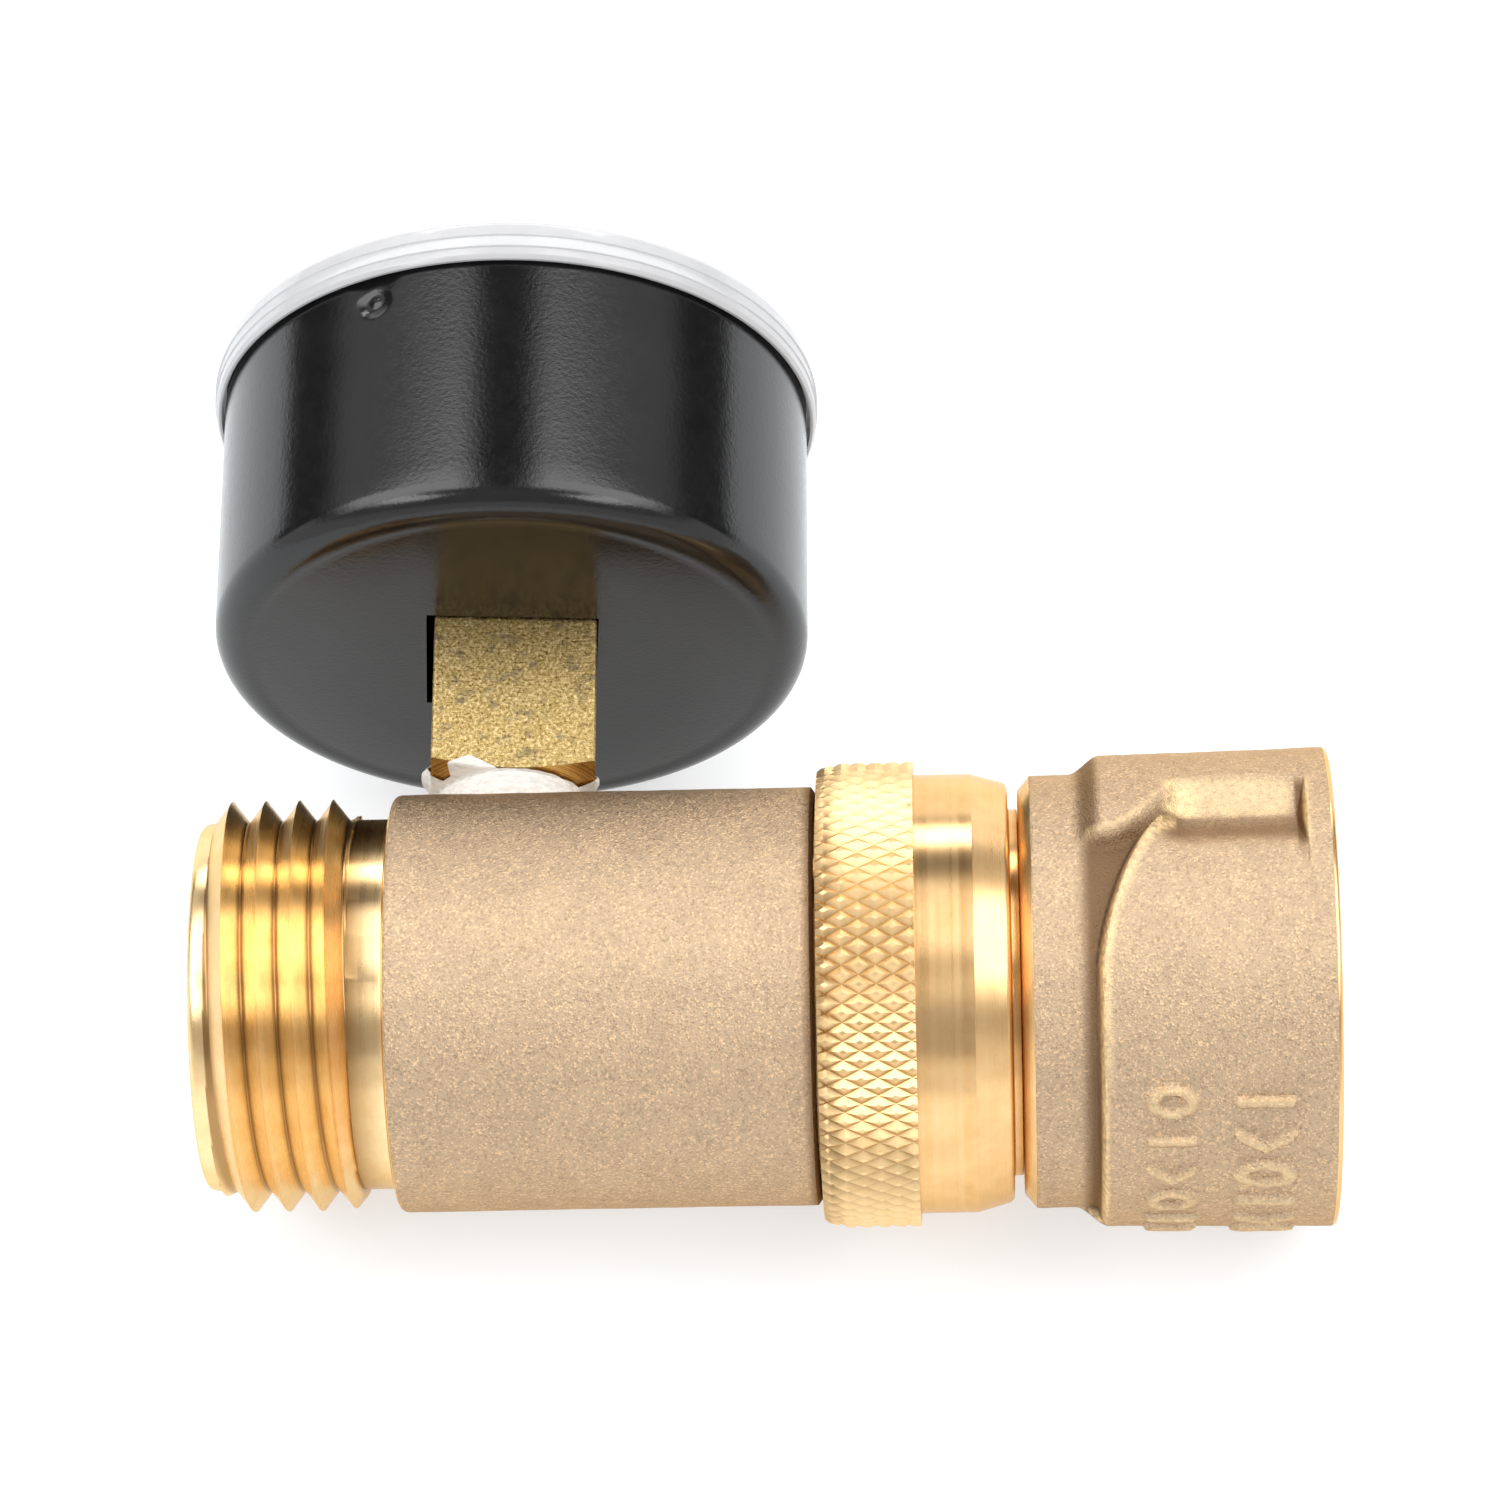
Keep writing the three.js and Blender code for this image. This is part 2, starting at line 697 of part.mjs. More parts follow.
function linkPin() {
  const head = post(TIP_PIVOT.x, TIP_PIVOT.y, LINK_Z + 0.8, LINK_Z + 1.2, 1);
  return join(post(TIP_PIVOT.x, TIP_PIVOT.y, TUBE_BACK + 2, LINK_Z + 1, 0.35, 12), head);
}

function roundedPlate(left, right, bottom, top, radius) {
  const plate = new THREE.Shape();
  plate.absarc(right - radius, bottom + radius, radius, -Math.PI / 2, 0);
  plate.absarc(right - radius, top - radius, radius, 0, Math.PI / 2);
  plate.absarc(left + radius, top - radius, radius, Math.PI / 2, Math.PI);
  plate.absarc(left + radius, bottom + radius, radius, Math.PI, 1.5 * Math.PI);
  plate.closePath();
  return plate;
}

function movementPlate(bottom, holes, bosses = []) {
  const blank = slab(roundedPlate(-7.5, 7.5, -11.2, 4.5, 3), bottom, PLATE_THICKNESS, 4);
  return cut(bosses.length ? join(blank, ...bosses) : blank, ...holes);
}

function plateScrew([x, y]) {
  const seat = FRONT_PLATE_Z + PLATE_THICKNESS;
  return join(post(x, y, seat - 0.7, seat + 0.3, 0.5, 12), post(x, y, seat + 0.15, seat + 0.9, 1.3));
}

function hairspring() {
  const outline = [];
  const turns = 3;
  const steps = 42;
  const halfWidth = 0.08;
  const place = (t, shift) => {
    const radius = THREE.MathUtils.lerp(1.2, 4, t) + shift;
    const angle = 2 * Math.PI * turns * t;
    return new THREE.Vector2(radius * Math.cos(angle), radius * Math.sin(angle));
  };
  for (let i = 0; i <= steps; i += 1) outline.push(place(i / steps, halfWidth));
  for (let i = steps; i >= 0; i -= 1) outline.push(place(i / steps, -halfWidth));
  return slab(new THREE.Shape(outline), 35.3, 0.6);
}

// ---- Assembly -----------------------------------------------------------------------------

function regulatorGroup() {
  const group = new THREE.Group();
  group.add(
    named("outlet_body", outletBody(), castBrass),
    named("inlet_cap", inletCap(), turnedBrass),
    named("cap_o_ring", waterSideORing(36.95, 11.4, 0.5), blackRubber),
    named("piston", piston(), turnedBrass),
    named("piston_o_ring", waterSideORing(27.5, 9.9, 0.6), blackRubber),
    named("stem_o_ring", waterSideORing(40.5, 5.3, 0.55), blackRubber),
    named("regulator_spring", regulatorSpring(), springSteel),
    named("seat_disc", seatDisc(), blackRubber),
    named("seat_screw", seatScrew(), stainless),
    named("swivel_tailpiece", tailpiece(), turnedBrass),
    named("swivel_nut", swivelNut(), castBrass),
    named("hose_washer", hoseWasher(), blackRubber),
    named("inlet_screen", inletScreen(), stainless),
  );
  group.position.set(OUTLET_X, FLOW_Y, FLOW_Z);
  return group;
}

function gaugeGroup() {
  const group = new THREE.Group();
  const dialScrews = [
    [-6, -6.5],
    [6, -6.5],
  ];
  const pillars = [
    [-6.2, 2],
    [6.2, 2],
  ];
  const frontTop = FRONT_PLATE_Z + PLATE_THICKNESS;
  const bosses = dialScrews.map(([x, y]) => post(x, y, frontTop - 0.3, DIAL_BACK - 0.3, 1.2));
  const screwHoles = dialScrews.map(([x, y]) => post(x, y, frontTop + 0.5, DIAL_BACK, 0.8, 12));
  const pillarHoles = pillars.map(([x, y]) => post(x, y, FRONT_PLATE_Z - 1, frontTop + 1, 0.8, 12));
  const arborHole = post(0, 0, FRONT_PLATE_Z - 1, frontTop + 1, 0.9, 12);
  group.add(
    named("gauge_socket", gaugeSocket(), turnedBrass),
    named("ptfe_tape", ptfeTape(), whiteTape),
    named("gauge_case", gaugeCase(), blackPaint),
    named("gauge_lens", gaugeLens(), clearPlastic),
    named("lens_gasket", lensGasket(), blackRubber),
    named("dial_plate", dialPlate(dialScrews), dialWhite),
    named("pointer", pointer(), pointerBlack),
    named("stop_pin", post(-7.6, -9.2, DIAL_FRONT + 0.1, DIAL_FRONT + 1.4, 0.35, 12), stainless),
    named("pinion_arbor", pinionArbor(), turnedBrass),
    named("hairspring", hairspring(), springSteel),
    named("sector_gear", sectorGear(), turnedBrass),
    named("sector_arbor", sectorArbor(), stainless),
    named("bourdon_tube", bourdonTube(), turnedBrass),
    named("tube_tip", tubeTip(), turnedBrass),
    named("link", link(), stainless),
    named("link_pin", linkPin(), stainless),
    named("movement_back_plate", movementPlate(BACK_PLATE_Z, []), turnedBrass),
    named(
      "movement_front_plate",
      movementPlate(FRONT_PLATE_Z, [arborHole, ...pillarHoles, ...screwHoles], bosses),
      turnedBrass,
    ),
  );
  const pillarFoot = BACK_PLATE_Z + PLATE_THICKNESS + 0.2;
  pillars.forEach(([x, y], i) => {
    const pillar = post(x, y, pillarFoot, FRONT_PLATE_Z - 0.2, 1.1);
    group.add(named(`movement_pillar_${i + 1}`, pillar, turnedBrass));
    group.add(named(`plate_screw_${i + 1}`, plateScrew([x, y]), stainless));
  });
  dialScrews.forEach((place, i) => {
    group.add(named(`dial_screw_${i + 1}`, dialScrew(place), stainless));
  });
  group.position.set(OUTLET_X + PORT_AT - CASE_OFFSET, FLOW_Y, FLOW_Z);
  group.rotation.set(LEAN - Math.PI / 2, 0, Math.PI);
  return group;
}

const regulator = new THREE.Group();
regulator.add(regulatorGroup(), gaugeGroup());

export default regulator;
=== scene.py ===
import json
import math

import bmesh
import bpy
from mathutils import Matrix, Vector, noise


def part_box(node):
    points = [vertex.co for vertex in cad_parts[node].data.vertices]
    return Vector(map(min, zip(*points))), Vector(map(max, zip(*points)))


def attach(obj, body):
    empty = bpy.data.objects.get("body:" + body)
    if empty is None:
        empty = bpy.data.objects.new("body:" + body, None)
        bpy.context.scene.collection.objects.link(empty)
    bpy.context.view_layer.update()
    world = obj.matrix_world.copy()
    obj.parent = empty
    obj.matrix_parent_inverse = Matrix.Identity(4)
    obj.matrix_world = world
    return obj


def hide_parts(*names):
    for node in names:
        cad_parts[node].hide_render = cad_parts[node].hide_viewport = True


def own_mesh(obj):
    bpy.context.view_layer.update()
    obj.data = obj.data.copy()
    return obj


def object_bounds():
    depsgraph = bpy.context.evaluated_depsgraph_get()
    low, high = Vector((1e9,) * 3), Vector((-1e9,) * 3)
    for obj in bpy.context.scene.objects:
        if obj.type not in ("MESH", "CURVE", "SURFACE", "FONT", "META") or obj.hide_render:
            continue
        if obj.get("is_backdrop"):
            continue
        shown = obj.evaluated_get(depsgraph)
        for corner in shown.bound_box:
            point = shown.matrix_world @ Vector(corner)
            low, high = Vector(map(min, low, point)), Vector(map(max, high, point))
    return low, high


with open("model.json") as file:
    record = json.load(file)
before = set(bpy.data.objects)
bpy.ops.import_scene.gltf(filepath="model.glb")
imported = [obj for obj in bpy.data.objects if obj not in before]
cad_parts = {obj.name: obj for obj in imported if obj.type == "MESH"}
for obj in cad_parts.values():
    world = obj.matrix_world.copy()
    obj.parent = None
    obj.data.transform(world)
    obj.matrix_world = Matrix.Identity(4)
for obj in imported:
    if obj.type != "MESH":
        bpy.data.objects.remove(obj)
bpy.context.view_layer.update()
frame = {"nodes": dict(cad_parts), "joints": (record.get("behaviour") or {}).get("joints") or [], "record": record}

# Lengths below are in millimetres. MM turns them into Blender's metres.
MM = 0.001
TURN = 2 * math.pi


# ---- The frame's own places -----------------------------------------------------------------

JOINTS = {joint["name"]: joint for joint in frame["joints"]}
SLEEVE_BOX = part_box("outlet_body")
FLOW_START = Vector((SLEEVE_BOX[0].x, *((SLEEVE_BOX[0] + SLEEVE_BOX[1]) / 2)[1:]))
STEM = Vector(JOINTS["pointer_turn"]["axis"]).normalized()
CASE_FOOT = Vector((JOINTS["pointer_turn"]["pos_m"][0], FLOW_START.y, FLOW_START.z))


def frame_matrix(origin, first, second):
    """Millimetres along first, second and their cross product, from origin, to Blender's metres."""
    third = first.cross(second)
    axes = Matrix((first, second, third)).transposed().to_4x4()
    return Matrix.Translation(origin) @ axes @ Matrix.Scale(MM, 4)


# Water path: x along it from the outlet end, angles from +Y towards +Z.
FLOW = frame_matrix(FLOW_START, Vector((1, 0, 0)), Vector((0, 1, 0)))
# Gauge: x out along the stem from the water path, angles from the reader's right to the reader's up.
GAUGE = frame_matrix(CASE_FOOT, STEM, Vector((-1, 0, 0)))
PORT_AT = 19.7  # where the gauge's stem stands on the water path
PORT_SHIFT = (FLOW_START.x - CASE_FOOT.x) / MM + PORT_AT  # stem axis from case centre, along +X


UNMOVED = Matrix.Identity(4)


def polar(place, position, radius, angle):
    """The point of a place's own space at a distance along its x axis, a radius and an angle."""
    return place @ Vector((position, radius * math.cos(angle), radius * math.sin(angle)))


def along(node):
    """A node's first and last place on the water path, in millimetres."""
    low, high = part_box(node)
    return (low.x - FLOW_START.x) / MM, (high.x - FLOW_START.x) / MM


def radius_of(node):
    low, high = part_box(node)
    return (high.y - low.y) / 2 / MM


def clamp(value):
    return min(1.0, max(0.0, value))


def smooth(low, high, value):
    t = clamp((value - low) / (high - low))
    return t * t * (3 - 2 * t)


def turn_between(first, second):
    """The angle from second to first, within half a turn either way."""
    return (first - second + math.pi) % TURN - math.pi


def new_object(name, data):
    made = bpy.data.objects.new(name, data)
    bpy.context.scene.collection.objects.link(made)
    return made


# ---- Camera ---------------------------------------------------------------------------------

# The camera leans as if the object stood a little raised at its inlet, as it does on a real table.
CAMERA_ELEVATION = math.radians(60) - math.asin(STEM.z)
CAMERA_TILT = math.radians(2.54)
CAMERA_ROLL = math.radians(0.42)
CAMERA_DISTANCE = 428
PATH_BELOW_CENTRE = 16.16
CENTRE_ALONG = 35.43
VIEW_WIDTH = 98.1


def add_camera():
    """A long lens above the front, aimed a little behind the water path."""
    level = Matrix.Rotation(math.pi / 2 - CAMERA_ELEVATION, 3, "X")
    turned_to = Matrix.Rotation(CAMERA_TILT, 3, "Y") @ level
    look, up = -turned_to.col[2], turned_to.col[1]
    data = bpy.data.cameras.new("camera")
    data.lens = data.sensor_width * CAMERA_DISTANCE / VIEW_WIDTH
    data.clip_start, data.clip_end = 0.05, 20
    camera = new_object("camera", data)
    target = FLOW @ Vector((CENTRE_ALONG, 0, 0)) + up * PATH_BELOW_CENTRE * MM
    turned_to = (turned_to @ Matrix.Rotation(CAMERA_ROLL, 3, "Z")).to_4x4()
    camera.matrix_world = Matrix.Translation(target - look * CAMERA_DISTANCE * MM) @ turned_to
    bpy.context.scene.camera = camera


# ---- Materials ------------------------------------------------------------------------------


class NodeTree:
    """Short ways to add nodes to a tree. An input is a socket to link or a plain value."""

    def __init__(self, tree):
        self.tree = tree

    def node(self, kind, inputs=None, **properties):
        made = self.tree.nodes.new(kind)
        for key, value in properties.items():
            setattr(made, key, value)
        for key, value in (inputs or {}).items():
            if isinstance(value, bpy.types.NodeSocket):
                self.tree.links.new(value, made.inputs[key])
            else:
                made.inputs[key].default_value = value
        return made

    def math(self, operation, first, second=0.0):
        return self.node("ShaderNodeMath", {0: first, 1: second}, operation=operation).outputs[0]

    def range(self, value, low, high, to_low, to_high, kind="LINEAR"):
        inputs = {"Value": value, "From Min": low, "From Max": high, "To Min": to_low, "To Max": to_high}
        return self.node("ShaderNodeMapRange", inputs, interpolation_type=kind).outputs[0]


class Finish(NodeTree):
    """A Principled material and the nodes that drive it."""

    def __init__(self, name, **settings):
        self.material = bpy.data.materials.new(name)
        self.material.use_nodes = True
        super().__init__(self.material.node_tree)
        self.shader = self.tree.nodes["Principled BSDF"]
        for socket, value in settings.items():
            self.shader.inputs[socket.replace("_", " ")].default_value = value

    def drive(self, socket, source):
        self.tree.links.new(source, self.shader.inputs[socket])

    def surfaced(self, colour, roughness, normal=None):
        """The finished material."""
        self.drive("Base Color", colour)
        self.drive("Roughness", roughness)
        if normal is not None:
            self.drive("Normal", normal)
        return self.material

    def place(self):
        """Position on the piece in millimetres."""
        coordinates = self.node("ShaderNodeTexCoord").outputs["Object"]
        inputs = {0: coordinates, "Scale": 1 / MM}
        return self.node("ShaderNodeVectorMath", inputs, operation="SCALE").outputs[0]

    def vector(self, operation, first, second, output="Vector"):
        return self.node("ShaderNodeVectorMath", {0: first, 1: second}, operation=operation).outputs[output]

    def turned_place(self, origin, axis):
        """Position as (along an axis, distance from it, 0), the same all round a turned piece."""
        arm = self.vector("SUBTRACT", self.place(), tuple(origin / MM))
        along_axis = self.vector("DOT_PRODUCT", arm, tuple(axis), "Value")
        squares = self.vector("DOT_PRODUCT", arm, arm, "Value")
        across = self.math("SUBTRACT", squares, self.math("POWER", along_axis, 2.0))
        radius = self.math("SQRT", self.math("MAXIMUM", across, 0.0))
        return self.node("ShaderNodeCombineXYZ", {0: along_axis, 1: radius}).outputs[0]

    def noise(self, place, scale, detail=2.0, roughness=0.5):
        inputs = {"Vector": place, "Scale": scale, "Detail": detail, "Roughness": roughness}
        return self.node("ShaderNodeTexNoise", inputs).outputs["Fac"]

    def stretched(self, place, factors):
        return self.node("ShaderNodeMapping", {"Vector": place, "Scale": factors}).outputs[0]

    def ramp(self, value, stops):
        ramp = self.node("ShaderNodeValToRGB", {"Fac": value})
        elements = ramp.color_ramp.elements
        for index, (position, colour) in enumerate(stops):
            element = elements[index] if index < 2 else elements.new(position)
            element.position = position
            element.color = (*colour, 1)
        return ramp.outputs["Color"]

    def mark(self, name):
        """A mesh attribute, from 0 to 1."""
        return self.node("ShaderNodeAttribute", attribute_name=name).outputs["Fac"]

    def mix(self, factor, first, second, blend="MIX"):
        mixer = self.node("ShaderNodeMix", {"Factor": factor}, data_type="RGBA", blend_type=blend)
        for socket, value in ((mixer.inputs[6], first), (mixer.inputs[7], second)):
            if isinstance(value, bpy.types.NodeSocket):
                self.tree.links.new(value, socket)
            else:
                socket.default_value = (*value, 1)
        return mixer.outputs[2]

    def bump(self, height, distance, strength=1.0, normal=None):
        inputs = {"Height": height, "Distance": distance * MM, "Strength": strength}
        if normal is not None:
            inputs["Normal"] = normal
        return self.node("ShaderNodeBump", inputs).outputs[0]


def cast_brass():
    """Bead-blasted brass: a matte tan skin of fine grains, with painted shade in recesses and a painted highlight,
    partly rubbed wear, on edges.
    """
    f = Finish("cast_brass", Metallic=1.0, Specular_Tint=(0.72, 0.52, 0.34, 1))
    place = f.place()
    grain = f.node("ShaderNodeTexVoronoi", {"Vector": place, "Scale": 8.0})
    sparkle = f.node("ShaderNodeSeparateColor", {0: grain.outputs["Color"]}).outputs[0]
    stains = f.noise(place, 0.3, 6.0, 0.7)
    tone = f.ramp(stains, [(0.35, (0.53, 0.392, 0.265)), (0.65, (0.595, 0.44, 0.292))])
    speckle = f.ramp(sparkle, [(0.05, (0.70, 0.68, 0.66)), (0.3, (0.95, 0.95, 0.95))])
    speckle = f.mix(f.range(sparkle, 0.8, 0.95, 0, 1), speckle, (1.35, 1.33, 1.25))
    speckled = f.mix(1.0, tone, speckle, "MULTIPLY")
    patches = f.range(f.noise(place, 0.16, 3.0), 0.42, 0.58, 0.15, 1)
    fleck = f.math("MULTIPLY", f.range(f.noise(place, 3.5, 4.0, 0.75), 0.58, 0.70, 0, 0.6), patches)
    flecked = f.mix(fleck, speckled, (0.74, 0.54, 0.29))
    # Painted shade: darker brown where the mesh attribute marks hollows, creases and gaps.
    with_painted_shade = f.mix(f.math("MULTIPLY", f.mark("painted_shade"), 0.92), flecked, (0.17, 0.10, 0.052))
    # Painted highlight, partly rubbed wear: pale gold along the edges that the mesh attribute marks.
    highlight_and_wear = f.math("MULTIPLY", f.mark("edge"), f.range(f.noise(place, 2.5, 4.0), 0.35, 0.6, 0.35, 1))
    colour = f.mix(highlight_and_wear, with_painted_shade, (0.90, 0.68, 0.38))
    skin = f.bump(f.noise(place, 1.8, 3.0, 0.6), 0.05)
    fine = f.bump(f.noise(place, 7.0, 3.0, 0.7), 0.07, 1.0, skin)
    grains = f.bump(grain.outputs["Distance"], 0.04, 1.0, fine)
    return f.surfaced(colour, f.range(sparkle, 0, 1, 0.38, 0.58), grains)


def turned_brass(name, tones):
    """Machined brass: tool marks run round the water path, so its gloss spreads along it.

    Mesh attribute groove_shade, 1 at the foot of a thread, holds painted brown shade.
    """
    f = Finish(
        name,
        Metallic=1.0,
        Anisotropic=0.75,
        Anisotropic_Rotation=0.25,
        Specular_Tint=(0.93, 0.80, 0.60, 1),
    )
    tangent = f.node("ShaderNodeTangent", direction_type="RADIAL", axis="X")
    f.drive("Tangent", tangent.outputs[0])
    rings = f.turned_place(FLOW_START, Vector((1, 0, 0)))
    fine = f.noise(f.stretched(rings, (14, 14, 1)), 1.0, 3.0, 0.6)
    wide = f.noise(f.stretched(rings, (1.6, 1.6, 1)), 1.0, 2.0)
    place = f.place()
    tarnish = f.noise(place, 0.4, 4.0, 0.65)
    tone = f.ramp(tarnish, [(0.3, tones[0]), (0.62, tones[1])])
    ringed = f.mix(f.range(wide, 0.35, 0.65, 0, 0.2), tone, (0.95, 0.73, 0.43))
    # Painted shade: dark brown along the foot of a thread, from the mesh attribute.
    colour = f.mix(f.mark("groove_shade"), ringed, (0.30, 0.15, 0.045))
    return f.surfaced(colour, f.range(wide, 0.3, 0.7, 0.25, 0.30), f.bump(fine, 0.0035))


def rolled_brass():
    """Knurled brass: satin, paler on the rolled ridges, with a little painted shade in the hollows."""
    f = Finish("rolled_brass", Metallic=1.0)
    place = f.place()
    tarnish = f.noise(place, 0.5, 4.0, 0.65)
    tone = f.ramp(tarnish, [(0.3, (0.76, 0.52, 0.25)), (0.65, (0.86, 0.61, 0.32))])
    # Painted shade: darker brown in the knurl's hollows, from the mesh attribute.
    colour = f.mix(f.math("MULTIPLY", f.mark("groove_shade"), 0.6), tone, (0.34, 0.22, 0.10))
    roughness = f.range(tarnish, 0.3, 0.7, 0.36, 0.46)
    return f.surfaced(colour, roughness, f.bump(f.noise(place, 6.0, 3.0), 0.006))


def cone_brass():
    """The socket's turned foot: deep orange gold with the lathe's circles about the stem."""
    f = Finish("cone_brass", Metallic=1.0)
    origin = GAUGE @ Vector((0, -PORT_SHIFT, 0))
    rings = f.turned_place(origin, STEM)
    circles = f.noise(f.stretched(rings, (7, 7, 1)), 1.0, 3.0, 0.6)
    colours = [(0.38, (0.42, 0.21, 0.05)), (0.55, (0.74, 0.43, 0.12)), (0.66, (0.95, 0.66, 0.28))]
    tone = f.ramp(circles, colours)
    roughness = f.range(f.noise(f.place(), 2.0, 3.0), 0.3, 0.7, 0.25, 0.4)
    return f.surfaced(tone, roughness, f.bump(circles, 0.02))


def socket_brass():
    """Drawn square bar: finely pitted olive gold, with saw scratches, bright specks and brown stains."""
    f = Finish("socket_brass", Metallic=1.0)
    place = f.place()
    pits = f.noise(place, 4.5, 4.0, 0.8)
    colours = [(0.32, (0.27, 0.175, 0.05)), (0.5, (0.54, 0.375, 0.135)), (0.66, (0.98, 0.80, 0.44))]
    tone = f.ramp(pits, colours)
    stains = f.noise(place, 0.9, 4.0, 0.6)
    stained = f.mix(f.range(stains, 0.54, 0.68, 0, 0.75), tone, (0.20, 0.15, 0.10))
    scratches = f.noise(f.stretched(place, (0.5, 9, 9)), 1.0, 4.0, 0.7)
    colour = f.mix(f.range(scratches, 0.64, 0.72, 0, 0.6), stained, (0.18, 0.11, 0.05))
    pitted = f.bump(pits, 0.05, 0.9)
    sawn = f.bump(scratches, 0.03, 0.8, pitted)
    return f.surfaced(colour, f.range(pits, 0.3, 0.7, 0.24, 0.42), sawn)


def clouded(name, noises, tones, roughness, bump, **settings):
    """A plain finish whose tone and gloss drift between two values.

    noises are the scale and detail of the drift and the scale of the bump, or None for the same
    noise. bump is how deep that is, in millimetres.
    """
    f = Finish(name, **settings)
    place = f.place()
    scale, detail, bump_scale = noises
    cloud = f.noise(place, scale, detail)
    colour = f.ramp(cloud, [(0.3, tones[0]), (0.7, tones[1])])
    height = f.noise(place, bump_scale, 3.0) if bump_scale else cloud
    normal = f.bump(height, bump) if bump else None
    return f.surfaced(colour, f.range(cloud, 0.3, 0.7, *roughness), normal)


def grey(value):
    return (value, value, value)


def steel(name, colour, roughness):
    tones = (colour, tuple(min(1, value * 1.25) for value in colour))
    gloss = (roughness, roughness + 0.12)
    return clouded(name, (2.0, 4.0, 12.0), tones, gloss, 0.004, Metallic=1.0)


def rubber():
    return clouded("black_rubber", (1.5, 4.0, 8.0), (grey(0.012), grey(0.03)), (0.55, 0.75), 0.01)


def printed_dial():
    tones = ((0.82, 0.82, 0.80), (0.88, 0.88, 0.86))
    return clouded("dial_white", (6.0, 3.0, None), tones, (0.42, 0.55), 0.004)


def ink():
    return clouded("pointer_black", (5.0, 3.0, None), (grey(0.010), grey(0.022)), (0.38, 0.5), 0)


def black_paint():
    """Satin black paint with fine orange peel and a little dust."""
    f = Finish("black_paint")
    place = f.place()
    cloud = f.noise(place, 0.25, 4.0)
    tone = f.ramp(cloud, [(0.3, (0.004, 0.004, 0.0042)), (0.7, (0.007, 0.007, 0.0072))])
    dust = f.range(f.noise(place, 7.0, 2.0, 0.8), 0.72, 0.80, 0, 0.3)
    roughness = f.range(f.noise(place, 1.5, 3.0), 0.3, 0.7, 0.13, 0.19)
    peel = f.bump(f.noise(place, 3.2, 2.0, 0.55), 0.011)
    fine = f.bump(f.noise(place, 10.0, 2.0, 0.6), 0.004, 1.0, peel)
    return f.surfaced(f.mix(dust, tone, grey(0.12)), roughness, fine)


def thread_tape():
    """White tape with stretched folds, a little milky."""
    f = Finish("thread_tape", Subsurface_Weight=0.2, Subsurface_Radius=grey(0.001))
    place = f.place()
    folds = f.noise(f.stretched(place, (1, 3, 3)), 1.2, 5.0, 0.7)
    colour = f.ramp(folds, [(0.3, (0.58, 0.56, 0.52)), (0.62, (0.78, 0.76, 0.72))])
    return f.surfaced(colour, f.range(folds, 0.3, 0.7, 0.5, 0.7), f.bump(folds, 0.08))


def clear_plastic(name, tone, solidity):
    """Moulded polycarbonate: solidity is how much of what lies behind it it hides, face on and edge on."""
    f = Finish(name)
    haze = f.noise(f.place(), 0.6, 3.0)
    colour = f.ramp(haze, [(0.3, tone), (0.7, tuple(value * 1.06 for value in tone))])
    edge = f.node("ShaderNodeLayerWeight", {"Blend": 0.5}).outputs["Facing"]
    f.drive("Alpha", f.range(edge, 0.0, 1.0, *solidity))
    waves = f.bump(f.noise(f.place(), 0.8, 2.0), 0.01)
    return f.surfaced(colour, f.range(haze, 0.3, 0.7, 0.06, 0.12), waves)


# ---- Mesh helpers ---------------------------------------------------------------------------


def add_piece(name, bm, body, material, nodes=(), sharp=35):
    """Turns a bmesh into a named piece that rides on a body and stands for CAD nodes."""
    bmesh.ops.remove_doubles(bm, verts=bm.verts, dist=1e-7)
    bmesh.ops.dissolve_degenerate(bm, edges=bm.edges, dist=1e-8)
    bmesh.ops.recalc_face_normals(bm, faces=bm.faces)
    for face in bm.faces:
        face.smooth = True
    limit = math.radians(sharp)
    for edge in bm.edges:
        edge.smooth = len(edge.link_faces) == 2 and edge.calc_face_angle(0) < limit
    mesh = bpy.data.meshes.new(name)
    bm.to_mesh(mesh)
    bm.free()
    piece = new_object(name, mesh)
    mesh.materials.append(material)
    if nodes:
        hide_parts(*nodes)
    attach(piece, body)
    return piece


def even_angles(count):
    return [TURN * i / count for i in range(count)]


def rounded(points, steps=4):
    """Points (x, y, radius) of a closed section, with each corner replaced by an arc of its radius."""
    section = []
    count = len(points)
    for i, (x, y, radius) in enumerate(points):
        corner = Vector((x, y))
        before = Vector(points[i - 1][:2]) - corner
        after = Vector(points[(i + 1) % count][:2]) - corner
        if radius <= 0 or before.length < 1e-6 or after.length < 1e-6:
            section.append((x, y))
            continue
        half = before.angle(after) / 2
        if half > math.radians(88):
            section.append((x, y))
            continue
        reach = min(radius / math.tan(half), before.length * 0.49, after.length * 0.49)
        arc_radius = reach * math.tan(half)
        bisector = (before.normalized() + after.normalized()).normalized()
        middle = corner + bisector * (arc_radius / math.sin(half))
        start = corner + before.normalized() * reach - middle
        end = corner + after.normalized() * reach - middle
        sweep = start.angle_signed(end)
        for step in range(steps + 1):
            turned_arm = start.copy()
            turned_arm.rotate(Matrix.Rotation(-sweep * step / steps, 2))
            section.append(tuple(middle + turned_arm))
    return section


def spaced(first, last, gap):
    """Places from first to last, about gap apart."""
    count = max(1, round(abs(last - first) / gap))
    return [first + (last - first) * i / count for i in range(count + 1)]


def bridge(bm, first, second, diagonal=None):
    """Faces between two rings of points of the same number, or between a ring and a single point.

    diagonal(column) says how to split a face: 0 not at all, 1 or 2 along one diagonal or the other.
    """
    for column in range(max(len(first), len(second))):
        after = (column + 1) % max(len(first), len(second))
        if len(first) == 1:
            bm.faces.new((first[0], second[after], second[column]))
            continue
        if len(second) == 1:
            bm.faces.new((first[column], first[after], second[0]))
            continue
        a, b, c, d = first[column], first[after], second[after], second[column]
        way = diagonal(column) if diagonal else 0
        for corners in (((a, b, c, d),), ((a, b, c), (a, c, d)), ((a, b, d), (b, c, d)))[way]:
            bm.faces.new(corners)


